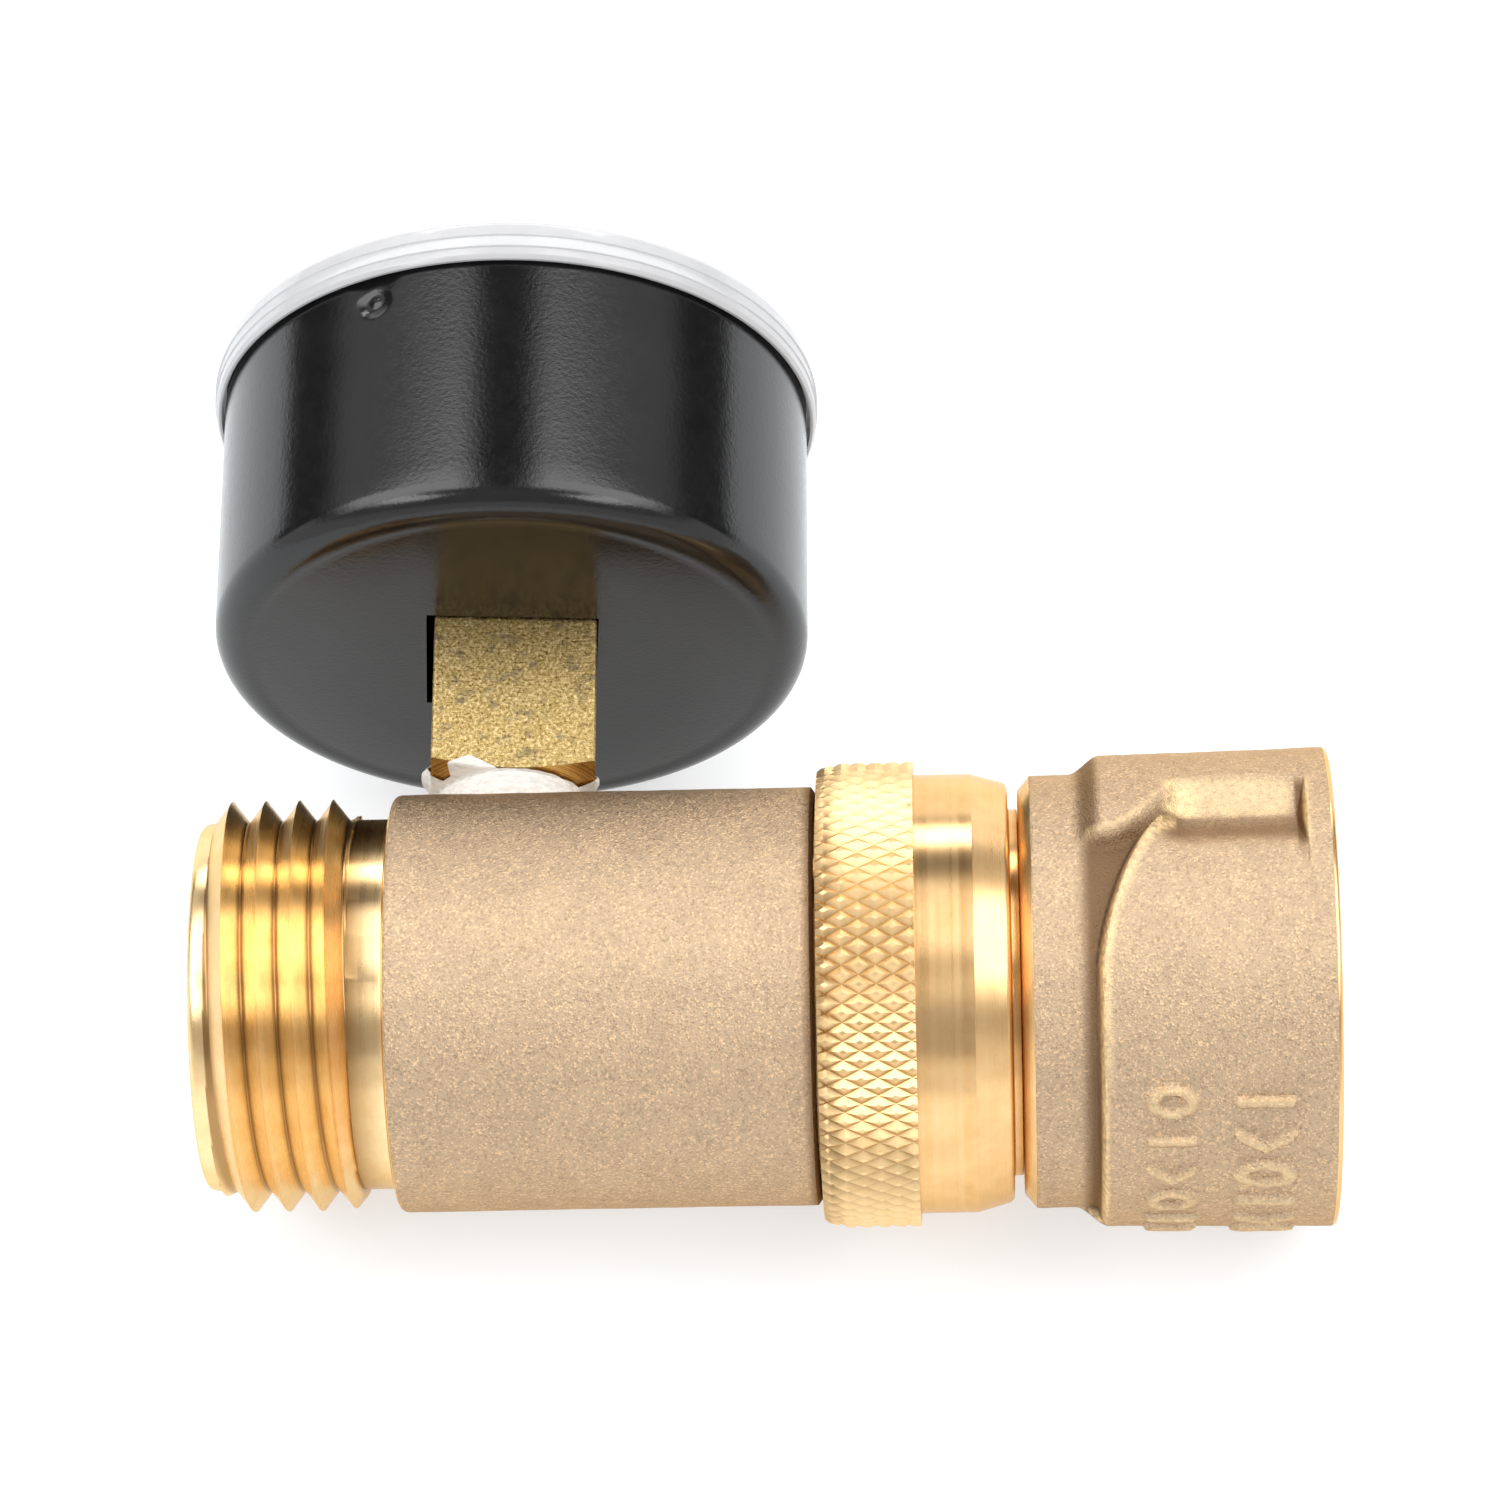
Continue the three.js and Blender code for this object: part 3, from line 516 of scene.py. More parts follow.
def add_turned(bm, place, section, angles, warp=None, diagonal=None, closed=True):
    """Adds the surface that a section of (along, radius) makes when turned through all the angles.

    warp moves a point: it takes and gives (along, radius, angle). diagonal(row, column) says how
    to split the face that starts there, as bridge does. A section that isn't closed starts and
    ends on the axis, or where another surface meets it.
    """
    grid = []
    for position, radius in section:
        if radius == 0:
            grid.append([bm.verts.new(polar(place, position, 0, 0))])
            continue
        line = []
        for angle in angles:
            point = (position, radius, angle) if warp is None else warp(position, radius, angle)
            line.append(bm.verts.new(polar(place, *point)))
        grid.append(line)
    for row in range(len(grid) if closed else len(grid) - 1):
        split = (lambda column: diagonal(row, column)) if diagonal else None
        bridge(bm, grid[row], grid[(row + 1) % len(grid)], split)


def add_thread_strip(bm, place, first, last, profile, pitch, start, fade, angles, edges):
    """Adds a helical thread between two places, as rows that follow the helix.

    profile is one pitch of (offset, rise), with offsets from -pitch / 2. edges are the radius at
    the root and the height of the crest above it, which is negative for a thread in a bore.
    start is the place of a crest at angle 0, and fade(place) is how much of the height it has.
    """
    root, height = edges
    turns = range(math.floor((first - start) / pitch) - 1, math.ceil((last - start) / pitch) + 2)
    points = [(turn, offset, rise) for turn in turns for offset, rise in profile]
    shift = len(profile)
    grid = []
    for angle in angles:
        line = []
        for turn, offset, rise in points:
            crest = start + pitch * (turn + angle / TURN)
            position = min(last, max(first, crest + offset))
            radius = root + height * rise * fade(crest) * (first < crest + offset < last)
            line.append(bm.verts.new(polar(place, position, radius, angle)))
        grid.append(line)
    for column, line in enumerate(grid):
        wraps = column + 1 == len(grid)
        after = grid[0] if wraps else grid[column + 1]
        offset = shift if wraps else 0
        for row in range(len(line) - 1):
            if row + 1 + offset >= len(after):
                break
            a, b, c, d = line[row], after[row + offset], after[row + 1 + offset], line[row + 1]
            if max((a.co - d.co).length, (b.co - c.co).length) >= 1e-9:
                bm.faces.new((a, b, c, d))


def add_marking(piece, name, amount):
    """Stores amount(place on the water path, distance from it, angle) at each point, for the material."""
    to_path = FLOW.inverted()
    values = []
    for vertex in piece.data.vertices:
        spot = to_path @ vertex.co
        values.append(amount(spot.x, math.hypot(spot.y, spot.z), math.atan2(spot.z, spot.y)))
    piece.data.attributes.new(name, "FLOAT", "POINT").data.foreach_set("value", values)


def paint(piece, material, chosen):
    """Gives a second material to the faces whose place on the water path is chosen."""
    piece.data.materials.append(material)
    to_path = FLOW.inverted()
    for face in piece.data.polygons:
        spot = to_path @ face.center
        if chosen(spot.x, math.hypot(spot.y, spot.z)):
            face.material_index = 1


def add_block(bm, matrix, size):
    made = bmesh.ops.create_cube(bm, size=1, matrix=matrix @ Matrix.Diagonal((*size, 1)))
    return made["verts"]


def bevelled(bm, verts, width, segments=2):
    edges = list({edge for vert in verts for edge in vert.link_edges})
    bmesh.ops.bevel(bm, geom=edges, offset=width * MM, segments=segments, affect="EDGES", profile=0.5)


def cut_away(piece, cutter_bm):
    """Cuts a closed shape out of a piece for good."""
    mesh = bpy.data.meshes.new("cutter")
    cutter_bm.to_mesh(mesh)
    cutter_bm.free()
    cutter = new_object("cutter", mesh)
    modifier = piece.modifiers.new("cut", "BOOLEAN")
    modifier.object, modifier.operation, modifier.solver = cutter, "DIFFERENCE", "EXACT"
    bpy.context.view_layer.update()
    depsgraph = bpy.context.evaluated_depsgraph_get()
    result = bpy.data.meshes.new_from_object(piece.evaluated_get(depsgraph))
    piece.modifiers.clear()
    piece.data = result
    bpy.data.objects.remove(cutter)


# ---- Outlet body ----------------------------------------------------------------------------

PITCH = 25.4 / 11.5
THREAD_RISE = 1.36
THREAD_START = 1.0
FIRST_CREST = 1.89  # on the highest side, seen from the camera's height
SLEEVE_R = radius_of("outlet_body")
ROOT_R = 12.1
NECK_START = 10.2
SLEEVE_START = 12.5
SLEEVE_END = along("outlet_body")[1]
PORT_R = 5.3


def add_outlet_body(material, machined):
    """Male thread, machined neck and cast sleeve, with the bores inside."""
    bm = bmesh.new()
    angles = even_angles(180)
    flank = [(x, 0.97 * (1 - x / 1.04)) for x in spaced(0.06, 0.92, 0.14)]
    profile = [(-PITCH / 2, 0), (-1.02, 0.02), *((-x, rise) for x, rise in reversed(flank))]
    profile += [(0.0, 1.0), *flank, (1.02, 0.02)]

    def fade(crest):
        return smooth(0.3, 1.5, crest) * (1 - smooth(8.9, 12.4, crest))

    start = FIRST_CREST - PITCH * (math.pi / 2 - CAMERA_ELEVATION) / TURN
    ends, edges = (THREAD_START, NECK_START), (ROOT_R, THREAD_RISE)
    add_thread_strip(bm, FLOW, *ends, profile, PITCH, start, fade, angles, edges)
    outline = [
        (NECK_START, ROOT_R, 0),
        (SLEEVE_START, ROOT_R, 0.15),
        (SLEEVE_START, SLEEVE_R, 0.55),
        (SLEEVE_END, SLEEVE_R, 0.0),
        (SLEEVE_END + 0.25, SLEEVE_R - 0.35, 0.1),
        (SLEEVE_END + 0.25, 12.1, 0.1),
        (33.2, 12.1, 0.1),
        (33.2, 10.7, 0.1),
        (25.2, 10.7, 0.1),
        (25.2, 10, 0.1),
        (14.5, 10, 0.1),
        (14.5, 8, 0.3),
        (0, 8, 0.4),
        (0, ROOT_R - 0.15, 0.45),
        (THREAD_START, ROOT_R, 0),
    ]
    section = rounded(outline)
    start_row = next(i for i, point in enumerate(section) if point[0] == NECK_START)
    section = section[start_row:] + section[:start_row]
    long_wall = next(i for i, point in enumerate(section) if point == (SLEEVE_END, SLEEVE_R))
    wall = [(x, SLEEVE_R) for x in spaced(section[long_wall - 1][0], SLEEVE_END, 0.6)[1:-1]]
    section = section[:long_wall] + wall + section[long_wall:]

    def uneven(position, radius, angle):
        if SLEEVE_START + 0.5 < position < SLEEVE_END - 0.5 and radius > 13:
            spot = polar(UNMOVED, position, radius, angle)
            radius += 0.035 * noise.noise(spot * 0.35) + 0.012 * noise.noise(spot * 1.6)
        return position, radius, angle

    add_turned(bm, FLOW, section, angles, uneven, closed=False)
    piece = add_piece("outlet_body_fine", bm, "regulator", material, ["outlet_body"])
    port = bmesh.new()
    stem_side = Matrix.Rotation(math.atan2(STEM.z, STEM.y) - math.pi / 2, 4, "X")
    centre = FLOW @ Matrix.Translation((PORT_AT, 0, 0)) @ stem_side @ Matrix.Translation((0, 0, 14))
    radii = {"radius1": PORT_R, "radius2": PORT_R}
    bmesh.ops.create_cone(port, cap_ends=True, segments=48, depth=16, matrix=centre, **radii)
    cut_away(piece, port)
    # Painted shade along the thread's foot.
    add_marking(piece, "groove_shade", thread_foot)
    # Painted shade in the gap at the sleeve's end, beside the knurled ring.
    add_marking(piece, "painted_shade", lambda x, radius, angle: smooth(SLEEVE_END - 0.3, SLEEVE_END + 0.1, x))
    paint(piece, machined, lambda x, radius: x < SLEEVE_START + 0.15 or radius < 11.5)


def thread_foot(position, radius, angle):
    """How much painted shade lies here: most along the foot of the thread."""
    if not THREAD_START < position < NECK_START + 0.1 or radius < ROOT_R - 0.05:
        return 0.0
    return 0.85 * (1 - smooth(ROOT_R + 0.02, ROOT_R + 0.2, radius))


# ---- Inlet cap ------------------------------------------------------------------------------

RING_START = 40.2
RING_END = 46.5
RING_R = radius_of("inlet_cap")
CAP_LAST = along("inlet_cap")[1]
KNURL_AXIAL = 2.18
KNURL_COUNT = 77
KNURL_FINE = 8
KNURL_DEPTH = 0.40
KNURL_PHASE = 0.57
BARREL_R = 14.3
CAP_NECK_R = 11.95
SPIGOT_R = 11.8


def knurl_coordinates(position, angle):
    """Places across the two families of grooves, which lie at whole numbers."""
    axial = (position - RING_START - KNURL_PHASE) / KNURL_AXIAL
    around = angle / TURN * KNURL_COUNT
    return axial + around, axial - around


def groove_rise(value):
    """0 at the bottom of a furrow and 1 half way between two furrows."""
    return 2 * abs(value - round(value))


def knurled(position, radius, angle):
    """The two families of rolled grooves, deeper on the lower side, under a crowned first edge."""
    if not RING_START - 0.01 < position < RING_END + 0.05 or radius < RING_R - 0.01:
        return position, radius, angle
    first, second = (groove_rise(value) for value in knurl_coordinates(position, angle))
    into = position - RING_START
    crown = 0.42 * max(0.0, 1 - into / 2.2) ** 2
    lower = 0.5 - 0.5 * math.sin(angle - CAMERA_ELEVATION + 0.3)
    depth_first = KNURL_DEPTH * (0.75 + 0.15 * lower)
    depth_second = KNURL_DEPTH * (0.75 + 0.5 * lower)
    top = 0.75
    drop = max(depth_first * (1 - min(first / top, 1)), depth_second * (1 - min(second / top, 1)))
    pit = 0.16 if abs(into - KNURL_PHASE) < 0.05 and max(first, second) < 0.01 else 0
    wear = 0.03 * noise.noise(Vector((position * 2, angle * 9, 3)))
    return position, radius - drop - crown - pit - wear, angle


def add_inlet_cap(material, rolled):
    """Knurled ring, machined barrel and neck, with the spigot and bores inside."""
    step = KNURL_AXIAL / KNURL_FINE
    stations = [RING_START + KNURL_PHASE + step * k for k in range(-2, 22)]
    outline = [
        (RING_END, BARREL_R, 0.1),
        (50.25, BARREL_R, 0),
        (50.3, BARREL_R - 0.03, 0),
        (52.6, 13.62, 0.45),
        (52.6, CAP_NECK_R, 0.15),
        (CAP_LAST + 0.2, CAP_NECK_R, 0.1),
        (CAP_LAST + 0.2, 8.2, 0.1),
        (42, 8.2, 0.1),
        (42, 4.8, 0.1),
        (39, 4.8, 0.1),
        (39, 9, 0.1),
        (33.5, 9, 0.1),
        (33.5, SPIGOT_R, 0.2),
        (36, SPIGOT_R, 0.1),
        (36, SPIGOT_R - 1, 0.1),
        (37.9, SPIGOT_R - 1, 0.1),
        (37.9, SPIGOT_R, 0.1),
        (RING_START, SPIGOT_R, 0),
        (RING_START, 13.9, 0),
    ]
    section = [(x, RING_R) for x in stations] + [(RING_END, 14.6)] + rounded(outline, 3)
    angles = even_angles(KNURL_COUNT * KNURL_FINE)

    def diagonal(row, column):
        if row >= len(stations) - 1:
            return 0
        middle = (stations[row] + stations[row + 1]) / 2
        between = TURN * (column + 0.5) / len(angles)
        first, second = (groove_rise(value) for value in knurl_coordinates(middle, between))
        return 2 if first <= second else 1

    bm = bmesh.new()
    add_turned(bm, FLOW, section, angles, knurled, diagonal)
    piece = add_piece("inlet_cap_fine", bm, "regulator", material, ["inlet_cap"], 28)
    # Painted shade in the knurl's hollows.
    add_marking(piece, "groove_shade", knurl_hollow)
    paint(piece, rolled, lambda x, radius: RING_START - 0.1 < x < RING_END + 0.02 and radius > 14)


def knurl_hollow(position, radius, angle):
    """Painted shade: 1 in the hollows of the knurl, and 0 on its ridges and elsewhere."""
    if not RING_START < position < RING_END or radius < 14:
        return 0.0
    return smooth(0.12, 0.45, RING_R - radius)


# ---- Swivel nut -----------------------------------------------------------------------------

NUT_START, NUT_END = along("swivel_nut")
NUT_END_R = radius_of("swivel_nut")
COLLAR_R = 14.1
NUT_BORE_R = 8.2
CAVITY_R = 12.6
CAVITY_ENDS = (57.1, 63.7)
FEMALE_ROOT_R = 13.5
FEMALE_RISE = -1.05
SHOULDER = (56.5, 58.7)
HOLLOW_LEFT = 63.4
HOLLOW_RIGHT = (70.95, 71.7)
UPPER_EDGE = 64.0
MARK_COLUMNS = ((62.6, 1.55), (68.5, 1.95))  # centre and half width of each column of marks
MARK_HEIGHT = 0.36
MARK_PITCH = 11  # degrees from one mark to the next
MARK_FIRST = -25.5


def facing_angle(angle, period=180, lowest=-80):
    """Degrees above the side that faces the camera. The nut's shape repeats each half turn."""
    degrees = 180 - math.degrees(CAMERA_ELEVATION) - math.degrees(angle)
    return (degrees - lowest) % period + lowest


def pad_corner(position, above):
    """1 along the curve that bounds a pad on the collar's side, and less inside it."""
    across = max(0.0, (HOLLOW_LEFT - 0.1 - position) / 4.85)
    up = max(0.0, (above - 7) / 44)
    return (across**1.45 + up**1.45) ** (1 / 1.45)


def pad_height(position, angle):
    """1 on the nut's full outside and 0 on the floor of a thumb hollow."""
    above = facing_angle(angle)
    upper_edge = UPPER_EDGE - 18 * math.sin(math.pi / 2 * clamp((HOLLOW_LEFT - position) / 4.9))
    wall = 5 + 6.5 * smooth(60, HOLLOW_LEFT, position)
    upper = clamp((above - upper_edge + wall) / wall)
    upper = upper * 0.6 + smooth(0, 1, upper) * 0.4
    slope = 1 - 0.88 * smooth(36.5, 50, above) - 0.12 * smooth(24, 38, above)
    slope = 1 - (1 - slope) * smooth(60.3, 64.2, position)
    edge = 1 - smooth(1.0, 1.13, pad_corner(position, above)) if position < HOLLOW_LEFT + 0.6 else 1.0
    if position >= HOLLOW_LEFT - 0.1:
        edge = 1 - smooth(50, 52, above)
    height = max(upper, min(slope, edge))
    return max(height, smooth(*HOLLOW_RIGHT, position))


def mark_height(position, angle):
    """Two columns of plain raised marks, as cast lot marks: rings, bars and bent strokes."""
    above = facing_angle(angle, 360, -180)
    if not -92 < above < -19:
        return 0.0
    index = round((above - MARK_FIRST) / MARK_PITCH)
    around = math.radians(above - MARK_FIRST - index * MARK_PITCH) * NUT_END_R / 1.05
    rise = 0.0
    for number, (centre, half) in enumerate(MARK_COLUMNS):
        lengthwise = (position - centre) / half
        if abs(lengthwise) > 1.3:
            continue
        kind = (index * 2 + number) % 3
        if kind == 0:
            off = abs(math.hypot(lengthwise, around) - 0.8) * 1.2
        elif kind == 1:
            off = math.hypot(max(0.0, abs(lengthwise) - 0.85) * half, around)
        else:
            off = abs(around - abs(lengthwise) * 1.1 + 0.55) * 0.85 + max(0.0, abs(lengthwise) - 0.9) * half
        rise = max(rise, 1 - smooth(0.2, 0.42, off))
    return MARK_HEIGHT * rise


def nut_recess(position, radius, angle):
    """Painted shade: 1 where casting skin lies low, in the hollows, along the shoulder and beside the end ring."""
    if radius < COLLAR_R - 0.2 or not SHOULDER[0] < position < NUT_END - 1:
        return 0.0
    valley = 1 - smooth(0.25, 1.0, pad_height(position, angle))
    valley *= smooth(SHOULDER[0] + 0.2, SHOULDER[0] + 1.3, position)
    above = facing_angle(angle)
    lit_wall = smooth(50, 55, above) * smooth(62.5, 63.6, position)
    floor = 1 - 0.35 * smooth(62.5, 64.5, position)
    middle = (SHOULDER[0] + SHOULDER[1]) / 2 + 0.1
    shoulder = 0.75 * (1 - smooth(0.2, 0.95, abs(position - middle)))
    right = smooth(33, 42, above) * (1 - smooth(60, 64, above))
    right *= 1 - smooth(0.12, 0.4, abs(position - HOLLOW_RIGHT[0] - 0.25))
    return max(valley * floor * (1 - lit_wall), shoulder, right)


def nut_edge(position, radius, angle):
    """Painted highlight, partly rubbed wear: 1 on the outer lip of each pad, and less along the pads' rims, on the
    raised marks and on the hollow's upper wall.
    """
    if radius < COLLAR_R - 0.2 or not SHOULDER[0] + 0.8 < position < NUT_END - 1:
        return 0.0
    step = 0.3
    here = pad_height(position, angle)
    turn = step / NUT_END_R
    moves = ((-step, 0), (step, 0), (0, -turn), (0, turn))
    around = sum(pad_height(position + x, angle + a) for x, a in moves) / 4
    lip = clamp((here - around) * 9) if here > 0.4 else 0.0
    above = facing_angle(angle)
    corner = pad_corner(position, above)
    band = smooth(0.86, 0.97, corner) * (1 - smooth(1.04, 1.1, corner)) if position < HOLLOW_LEFT else 0.0
    band *= smooth(-40, 5, above) * (1 - smooth(48, 54, above))
    marks = mark_height(position, angle) / MARK_HEIGHT
    return max(lip, 0.9 * band, 0.45 * marks, hollow_glint(position, angle))


def hollow_glint(position, angle):
    """Painted highlight on the hollow's upper wall, brightest in its left corner."""
    above = facing_angle(angle)
    wall = smooth(51.5, 53.5, above) * (1 - smooth(61, 64, above))
    length = smooth(62.2, 63.0, position) * (1 - smooth(70.2, 70.9, position))
    corner = 1 - smooth(64.0, 65.2, position)
    return wall * length * (0.5 + 0.5 * corner)


def nut_skin(position, radius, angle):
    """The nut's cast outside, with its shoulder, hollows and marks."""
    if radius < COLLAR_R - 0.02 or position < NUT_START + 1:
        return position, radius, angle
    main = 15.35 + 0.25 * (position - SHOULDER[1]) / (NUT_END - SHOULDER[1])
    shoulder = smooth(*SHOULDER, position)
    end_corner = radius - NUT_END_R  # the rounded edge at the nut's mouth keeps its own shape
    height = pad_height(position, angle)
    full = COLLAR_R + (main - COLLAR_R) * shoulder
    floor = COLLAR_R + 0.1 * shoulder
    spot = polar(UNMOVED, position, 15, angle)
    uneven = 0.05 * noise.noise(spot * 0.3) + 0.02 * noise.noise(spot * 1.3)
    blend = smooth(0, 0.4, NUT_END - 0.5 - position)
    skin = floor + (full - floor) * height + uneven * blend + mark_height(position, angle)
    return position, skin + (end_corner if position > NUT_END - 0.5 else 0), angle


def add_swivel_nut(material, machined):
    """Cast nut with thumb hollows and a female helical thread."""
    bm = bmesh.new()
    angles = even_angles(420)
    skin = (
        spaced(NUT_START + 1.2, SHOULDER[0] - 0.2, 0.6)
        + spaced(SHOULDER[0], 63, 0.16)
        + spaced(63.2, HOLLOW_RIGHT[0] - 0.1, 0.2)
        + spaced(*HOLLOW_RIGHT, 0.08)
        + spaced(HOLLOW_RIGHT[1] + 0.15, NUT_END - 0.5, 0.25)
    )
    mouth = [
        (NUT_END - 1, NUT_END_R, 0),
        (NUT_END, NUT_END_R, 0.3),
        (NUT_END, FEMALE_ROOT_R + 0.3, 0.15),
        (NUT_END - 0.7, FEMALE_ROOT_R, 0),
    ]
    outside = [
        (NUT_START, NUT_BORE_R),
        (NUT_START, 13.15),
        (NUT_START + 0.12, 13.3),
        (NUT_START + 0.75, COLLAR_R - 0.05),
        (NUT_START + 0.9, COLLAR_R),
        *((x, NUT_END_R) for x in skin),
        *rounded(mouth)[1:],
    ]
    inner, outer = CAVITY_ENDS
    cavity = [(outer, FEMALE_ROOT_R), (outer, CAVITY_R), (inner, CAVITY_R), (inner, 8.3)]
    cavity.append((NUT_START, NUT_BORE_R))
    add_turned(bm, FLOW, outside, angles, nut_skin, closed=False)
    add_turned(bm, FLOW, cavity, angles, closed=False)
    profile = [(-PITCH / 2, 0), (-0.75, 0), (-0.12, 1), (0.12, 1), (0.75, 0)]

    def fade(crest):
        return smooth(63.4, 64.6, crest) * (1 - smooth(71.6, 72.8, crest))

    ends, edges = (outer, NUT_END - 0.7), (FEMALE_ROOT_R, FEMALE_RISE)
    add_thread_strip(bm, FLOW, *ends, profile, PITCH, 64.5, fade, angles, edges)
    piece = add_piece("swivel_nut_fine", bm, "nut", material, ["swivel_nut"], 40)
    # Painted shade in the nut's hollows, along its shoulder and beside its end ring.
    add_marking(piece, "painted_shade", nut_recess)
    # Painted highlight, partly rubbed wear, on the pads' lips and rims, the marks and the hollow's upper wall.
    add_marking(piece, "edge", nut_edge)
    paint(piece, machined, lambda x, radius: x > NUT_END - 0.35 or x < NUT_START + 0.8 or radius < 13.75)


# ---- Spring, inlet washer and screen --------------------------------------------------------


def add_wire(bm, points, radius, sides=6):
    """A round wire through the points, closed at both ends."""
    rings = []
    for index, point in enumerate(points):
        ahead = points[min(index + 1, len(points) - 1)] - points[max(index - 1, 0)]
        turned = Matrix.Translation(point) @ ahead.to_track_quat("Z", "X").to_matrix().to_4x4()
        spots = [Vector((radius * math.cos(a), radius * math.sin(a), 0)) for a in even_angles(sides)]
        rings.append([bm.verts.new(turned @ spot) for spot in spots])
    for first, second in zip(rings, rings[1:]):
        bridge(bm, first, second)
    bm.faces.new(rings[0][::-1])
    bm.faces.new(rings[-1])


def add_regulator_spring(material):
    """Round wire coiled with closed ends, drawn at one length; on the real part the piston presses it shorter as
    it moves.
    """
    first, last = along("regulator_spring")
    wire, coil, turns, steps = 0.7, 7.2, 5.6, 260
    travel = last - first - 2 * wire
    points = []
    for step in range(steps + 1):
        t = step / steps
        start, end = smooth(-0.35, 1.35, 0), smooth(-0.35, 1.35, 1)
        climb = (smooth(-0.35, 1.35, t) - start) / (end - start)
        reached = 0.55 * smooth(0, 1, t) + 0.45 * climb
        points.append(polar(FLOW, first + wire + travel * reached, coil, TURN * turns * t))
    bm = bmesh.new()
    add_wire(bm, points, wire * MM, 12)
    name = "regulator_spring_fine"
    piece = add_piece(name, bm, "regulator", material, ["regulator_spring"])
    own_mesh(piece)


def add_hose_washer(material):
    """Moulded rubber ring with soft edges."""
    first, last = along("hose_washer")
    outer = radius_of("hose_washer")
    inner = 8.1
    outline = [(first, inner, 0.4), (first, outer, 0.5), (last, outer, 0.5), (last, inner, 0.6)]

    def uneven(position, radius, angle):
        rise = 0.04 * noise.noise(polar(UNMOVED, position, 4, angle))
        return position, radius + rise, angle

    bm = bmesh.new()
    add_turned(bm, FLOW, rounded(outline), even_angles(96), uneven)
    add_piece("hose_washer_fine", bm, "regulator", material, ["hose_washer"])


def add_inlet_screen(material):
    """A woven stainless dish with a pressed rim."""
    first, last = along("inlet_screen")
    bm = bmesh.new()
    reach, gap, wire = 7.3, 0.62, 0.13
    count = int(reach / gap)

    def dish(a, b):
        return last - 0.25 - 1.55 * ((a * a + b * b) / reach**2) ** 1.2

    for direction in (0, 1):
        for number in range(-count, count + 1):
            fixed = number * gap
            half = math.sqrt(max(0.0, reach**2 - fixed**2))
            if half < gap:
                continue
            points = []
            steps = max(4, int(2 * half / 0.31))
            for step in range(steps + 1):
                moving = -half + 2 * half * step / steps
                over = 1 if direction else -1
                wave = over * wire * math.cos(math.pi * (moving / gap + number))
                y, z = (moving, fixed) if direction else (fixed, moving)
                points.append(FLOW @ Vector((dish(y, z) + wave, y, z)))
            add_wire(bm, points, wire * MM)
    back, front = first + 0.05, first + 0.5
    rim = [(back, 7.2, 0.1), (back, 7.95, 0.15), (front, 7.95, 0.15), (front, 7.1, 0.1)]
    add_turned(bm, FLOW, rounded(rim), even_angles(96))
    add_piece("inlet_screen_fine", bm, "regulator", material, ["inlet_screen"])


# ---- Gauge ----------------------------------------------------------------------------------

CASE_R = 20.0
CASE_BACK = 25.95
CASE_EDGE = 45.3
CASE_CORNER = 2.0
CASE_WALL = 0.6
CASE_HOLE_SIDE = 11.5
CASE_HOLE_SHIFT = 0.22
DIMPLES = [math.radians(degrees) for degrees in (66, 186, 306)]
DIMPLE_HEIGHT = 43.1
LENS_WINDOW_R = 18.7


def case_angles():
    """Even angles, with fine ones near each crimp."""
    angles = set()
    for index in range(200):
        angle = TURN * index / 200
        if all(abs(turn_between(angle, dimple)) > 0.13 for dimple in DIMPLES):
            angles.add(angle)
    for dimple in DIMPLES:
        for index in range(-15, 16):
            angles.add((dimple + index * 0.0085) % TURN)
    return sorted(angles)


def crimped(position, radius, angle):
    """Punched dimples near the rim, each with a raised dot and a hollow that widens to the edge."""
    if position < 38:
        return position, radius, angle
    for dimple in DIMPLES:
        around = turn_between(angle, dimple) * CASE_R
        off = math.hypot(around, position - DIMPLE_HEIGHT)
        hollow = 0.30 * (1 - smooth(0.35, 1.6, off))
        pimple = 0.15 * (1 - smooth(0.1, 0.65, off))
        spread = abs(around) / (1.3 + 0.55 * max(0.0, position - DIMPLE_HEIGHT))
        flare = 0.20 * (1 - smooth(0.3, 1.0, spread))
        flare *= smooth(DIMPLE_HEIGHT - 0.4, CASE_EDGE - 0.4, position)
        radius -= max(hollow, flare) - pimple
    return position, radius, angle


def add_gauge_case(material):
    """Drawn steel cup with a rounded back edge, a square hole and crimps near the rim."""
    heights = spaced(CASE_BACK + CASE_CORNER, 40.5, 1.5) + spaced(41, CASE_EDGE - 0.1, 0.16)
    corner_outside = [
        (CASE_BACK + CASE_CORNER * (1 - math.cos(a)), CASE_R - CASE_CORNER + CASE_CORNER * math.sin(a))
        for a in spaced(0, math.pi / 2, 0.16)[:-1]
    ]
    back = [(CASE_BACK, radius) for radius in (0, 6, 12, 17.0)]
    crease = [(CASE_BACK + 0.04, 17.35), (CASE_BACK, 17.7)]
    floor = CASE_BACK + CASE_WALL
    inner_r = CASE_R - CASE_WALL
    section = [*back, *crease, *corner_outside, *((x, CASE_R) for x in heights)]
    section += [(CASE_EDGE, CASE_R - 0.12), (CASE_EDGE, inner_r + 0.12), (CASE_EDGE - 0.12, inner_r)]
    section += [(x, inner_r) for x in reversed(heights[:-1])]
    section += [(floor + 0.4, 18.9), (floor, 18.0), (floor, 0)]
    bm = bmesh.new()
    add_turned(bm, GAUGE, section, case_angles(), crimped, closed=False)
    piece = add_piece("gauge_case_fine", bm, "regulator", material, ["gauge_case"], 50)
    hole = bmesh.new()
    place = stem_matrix() @ Matrix.Translation((CASE_BACK, CASE_HOLE_SHIFT, 0))
    add_block(hole, place, (4, CASE_HOLE_SIDE, CASE_HOLE_SIDE))
    cut_away(piece, hole)


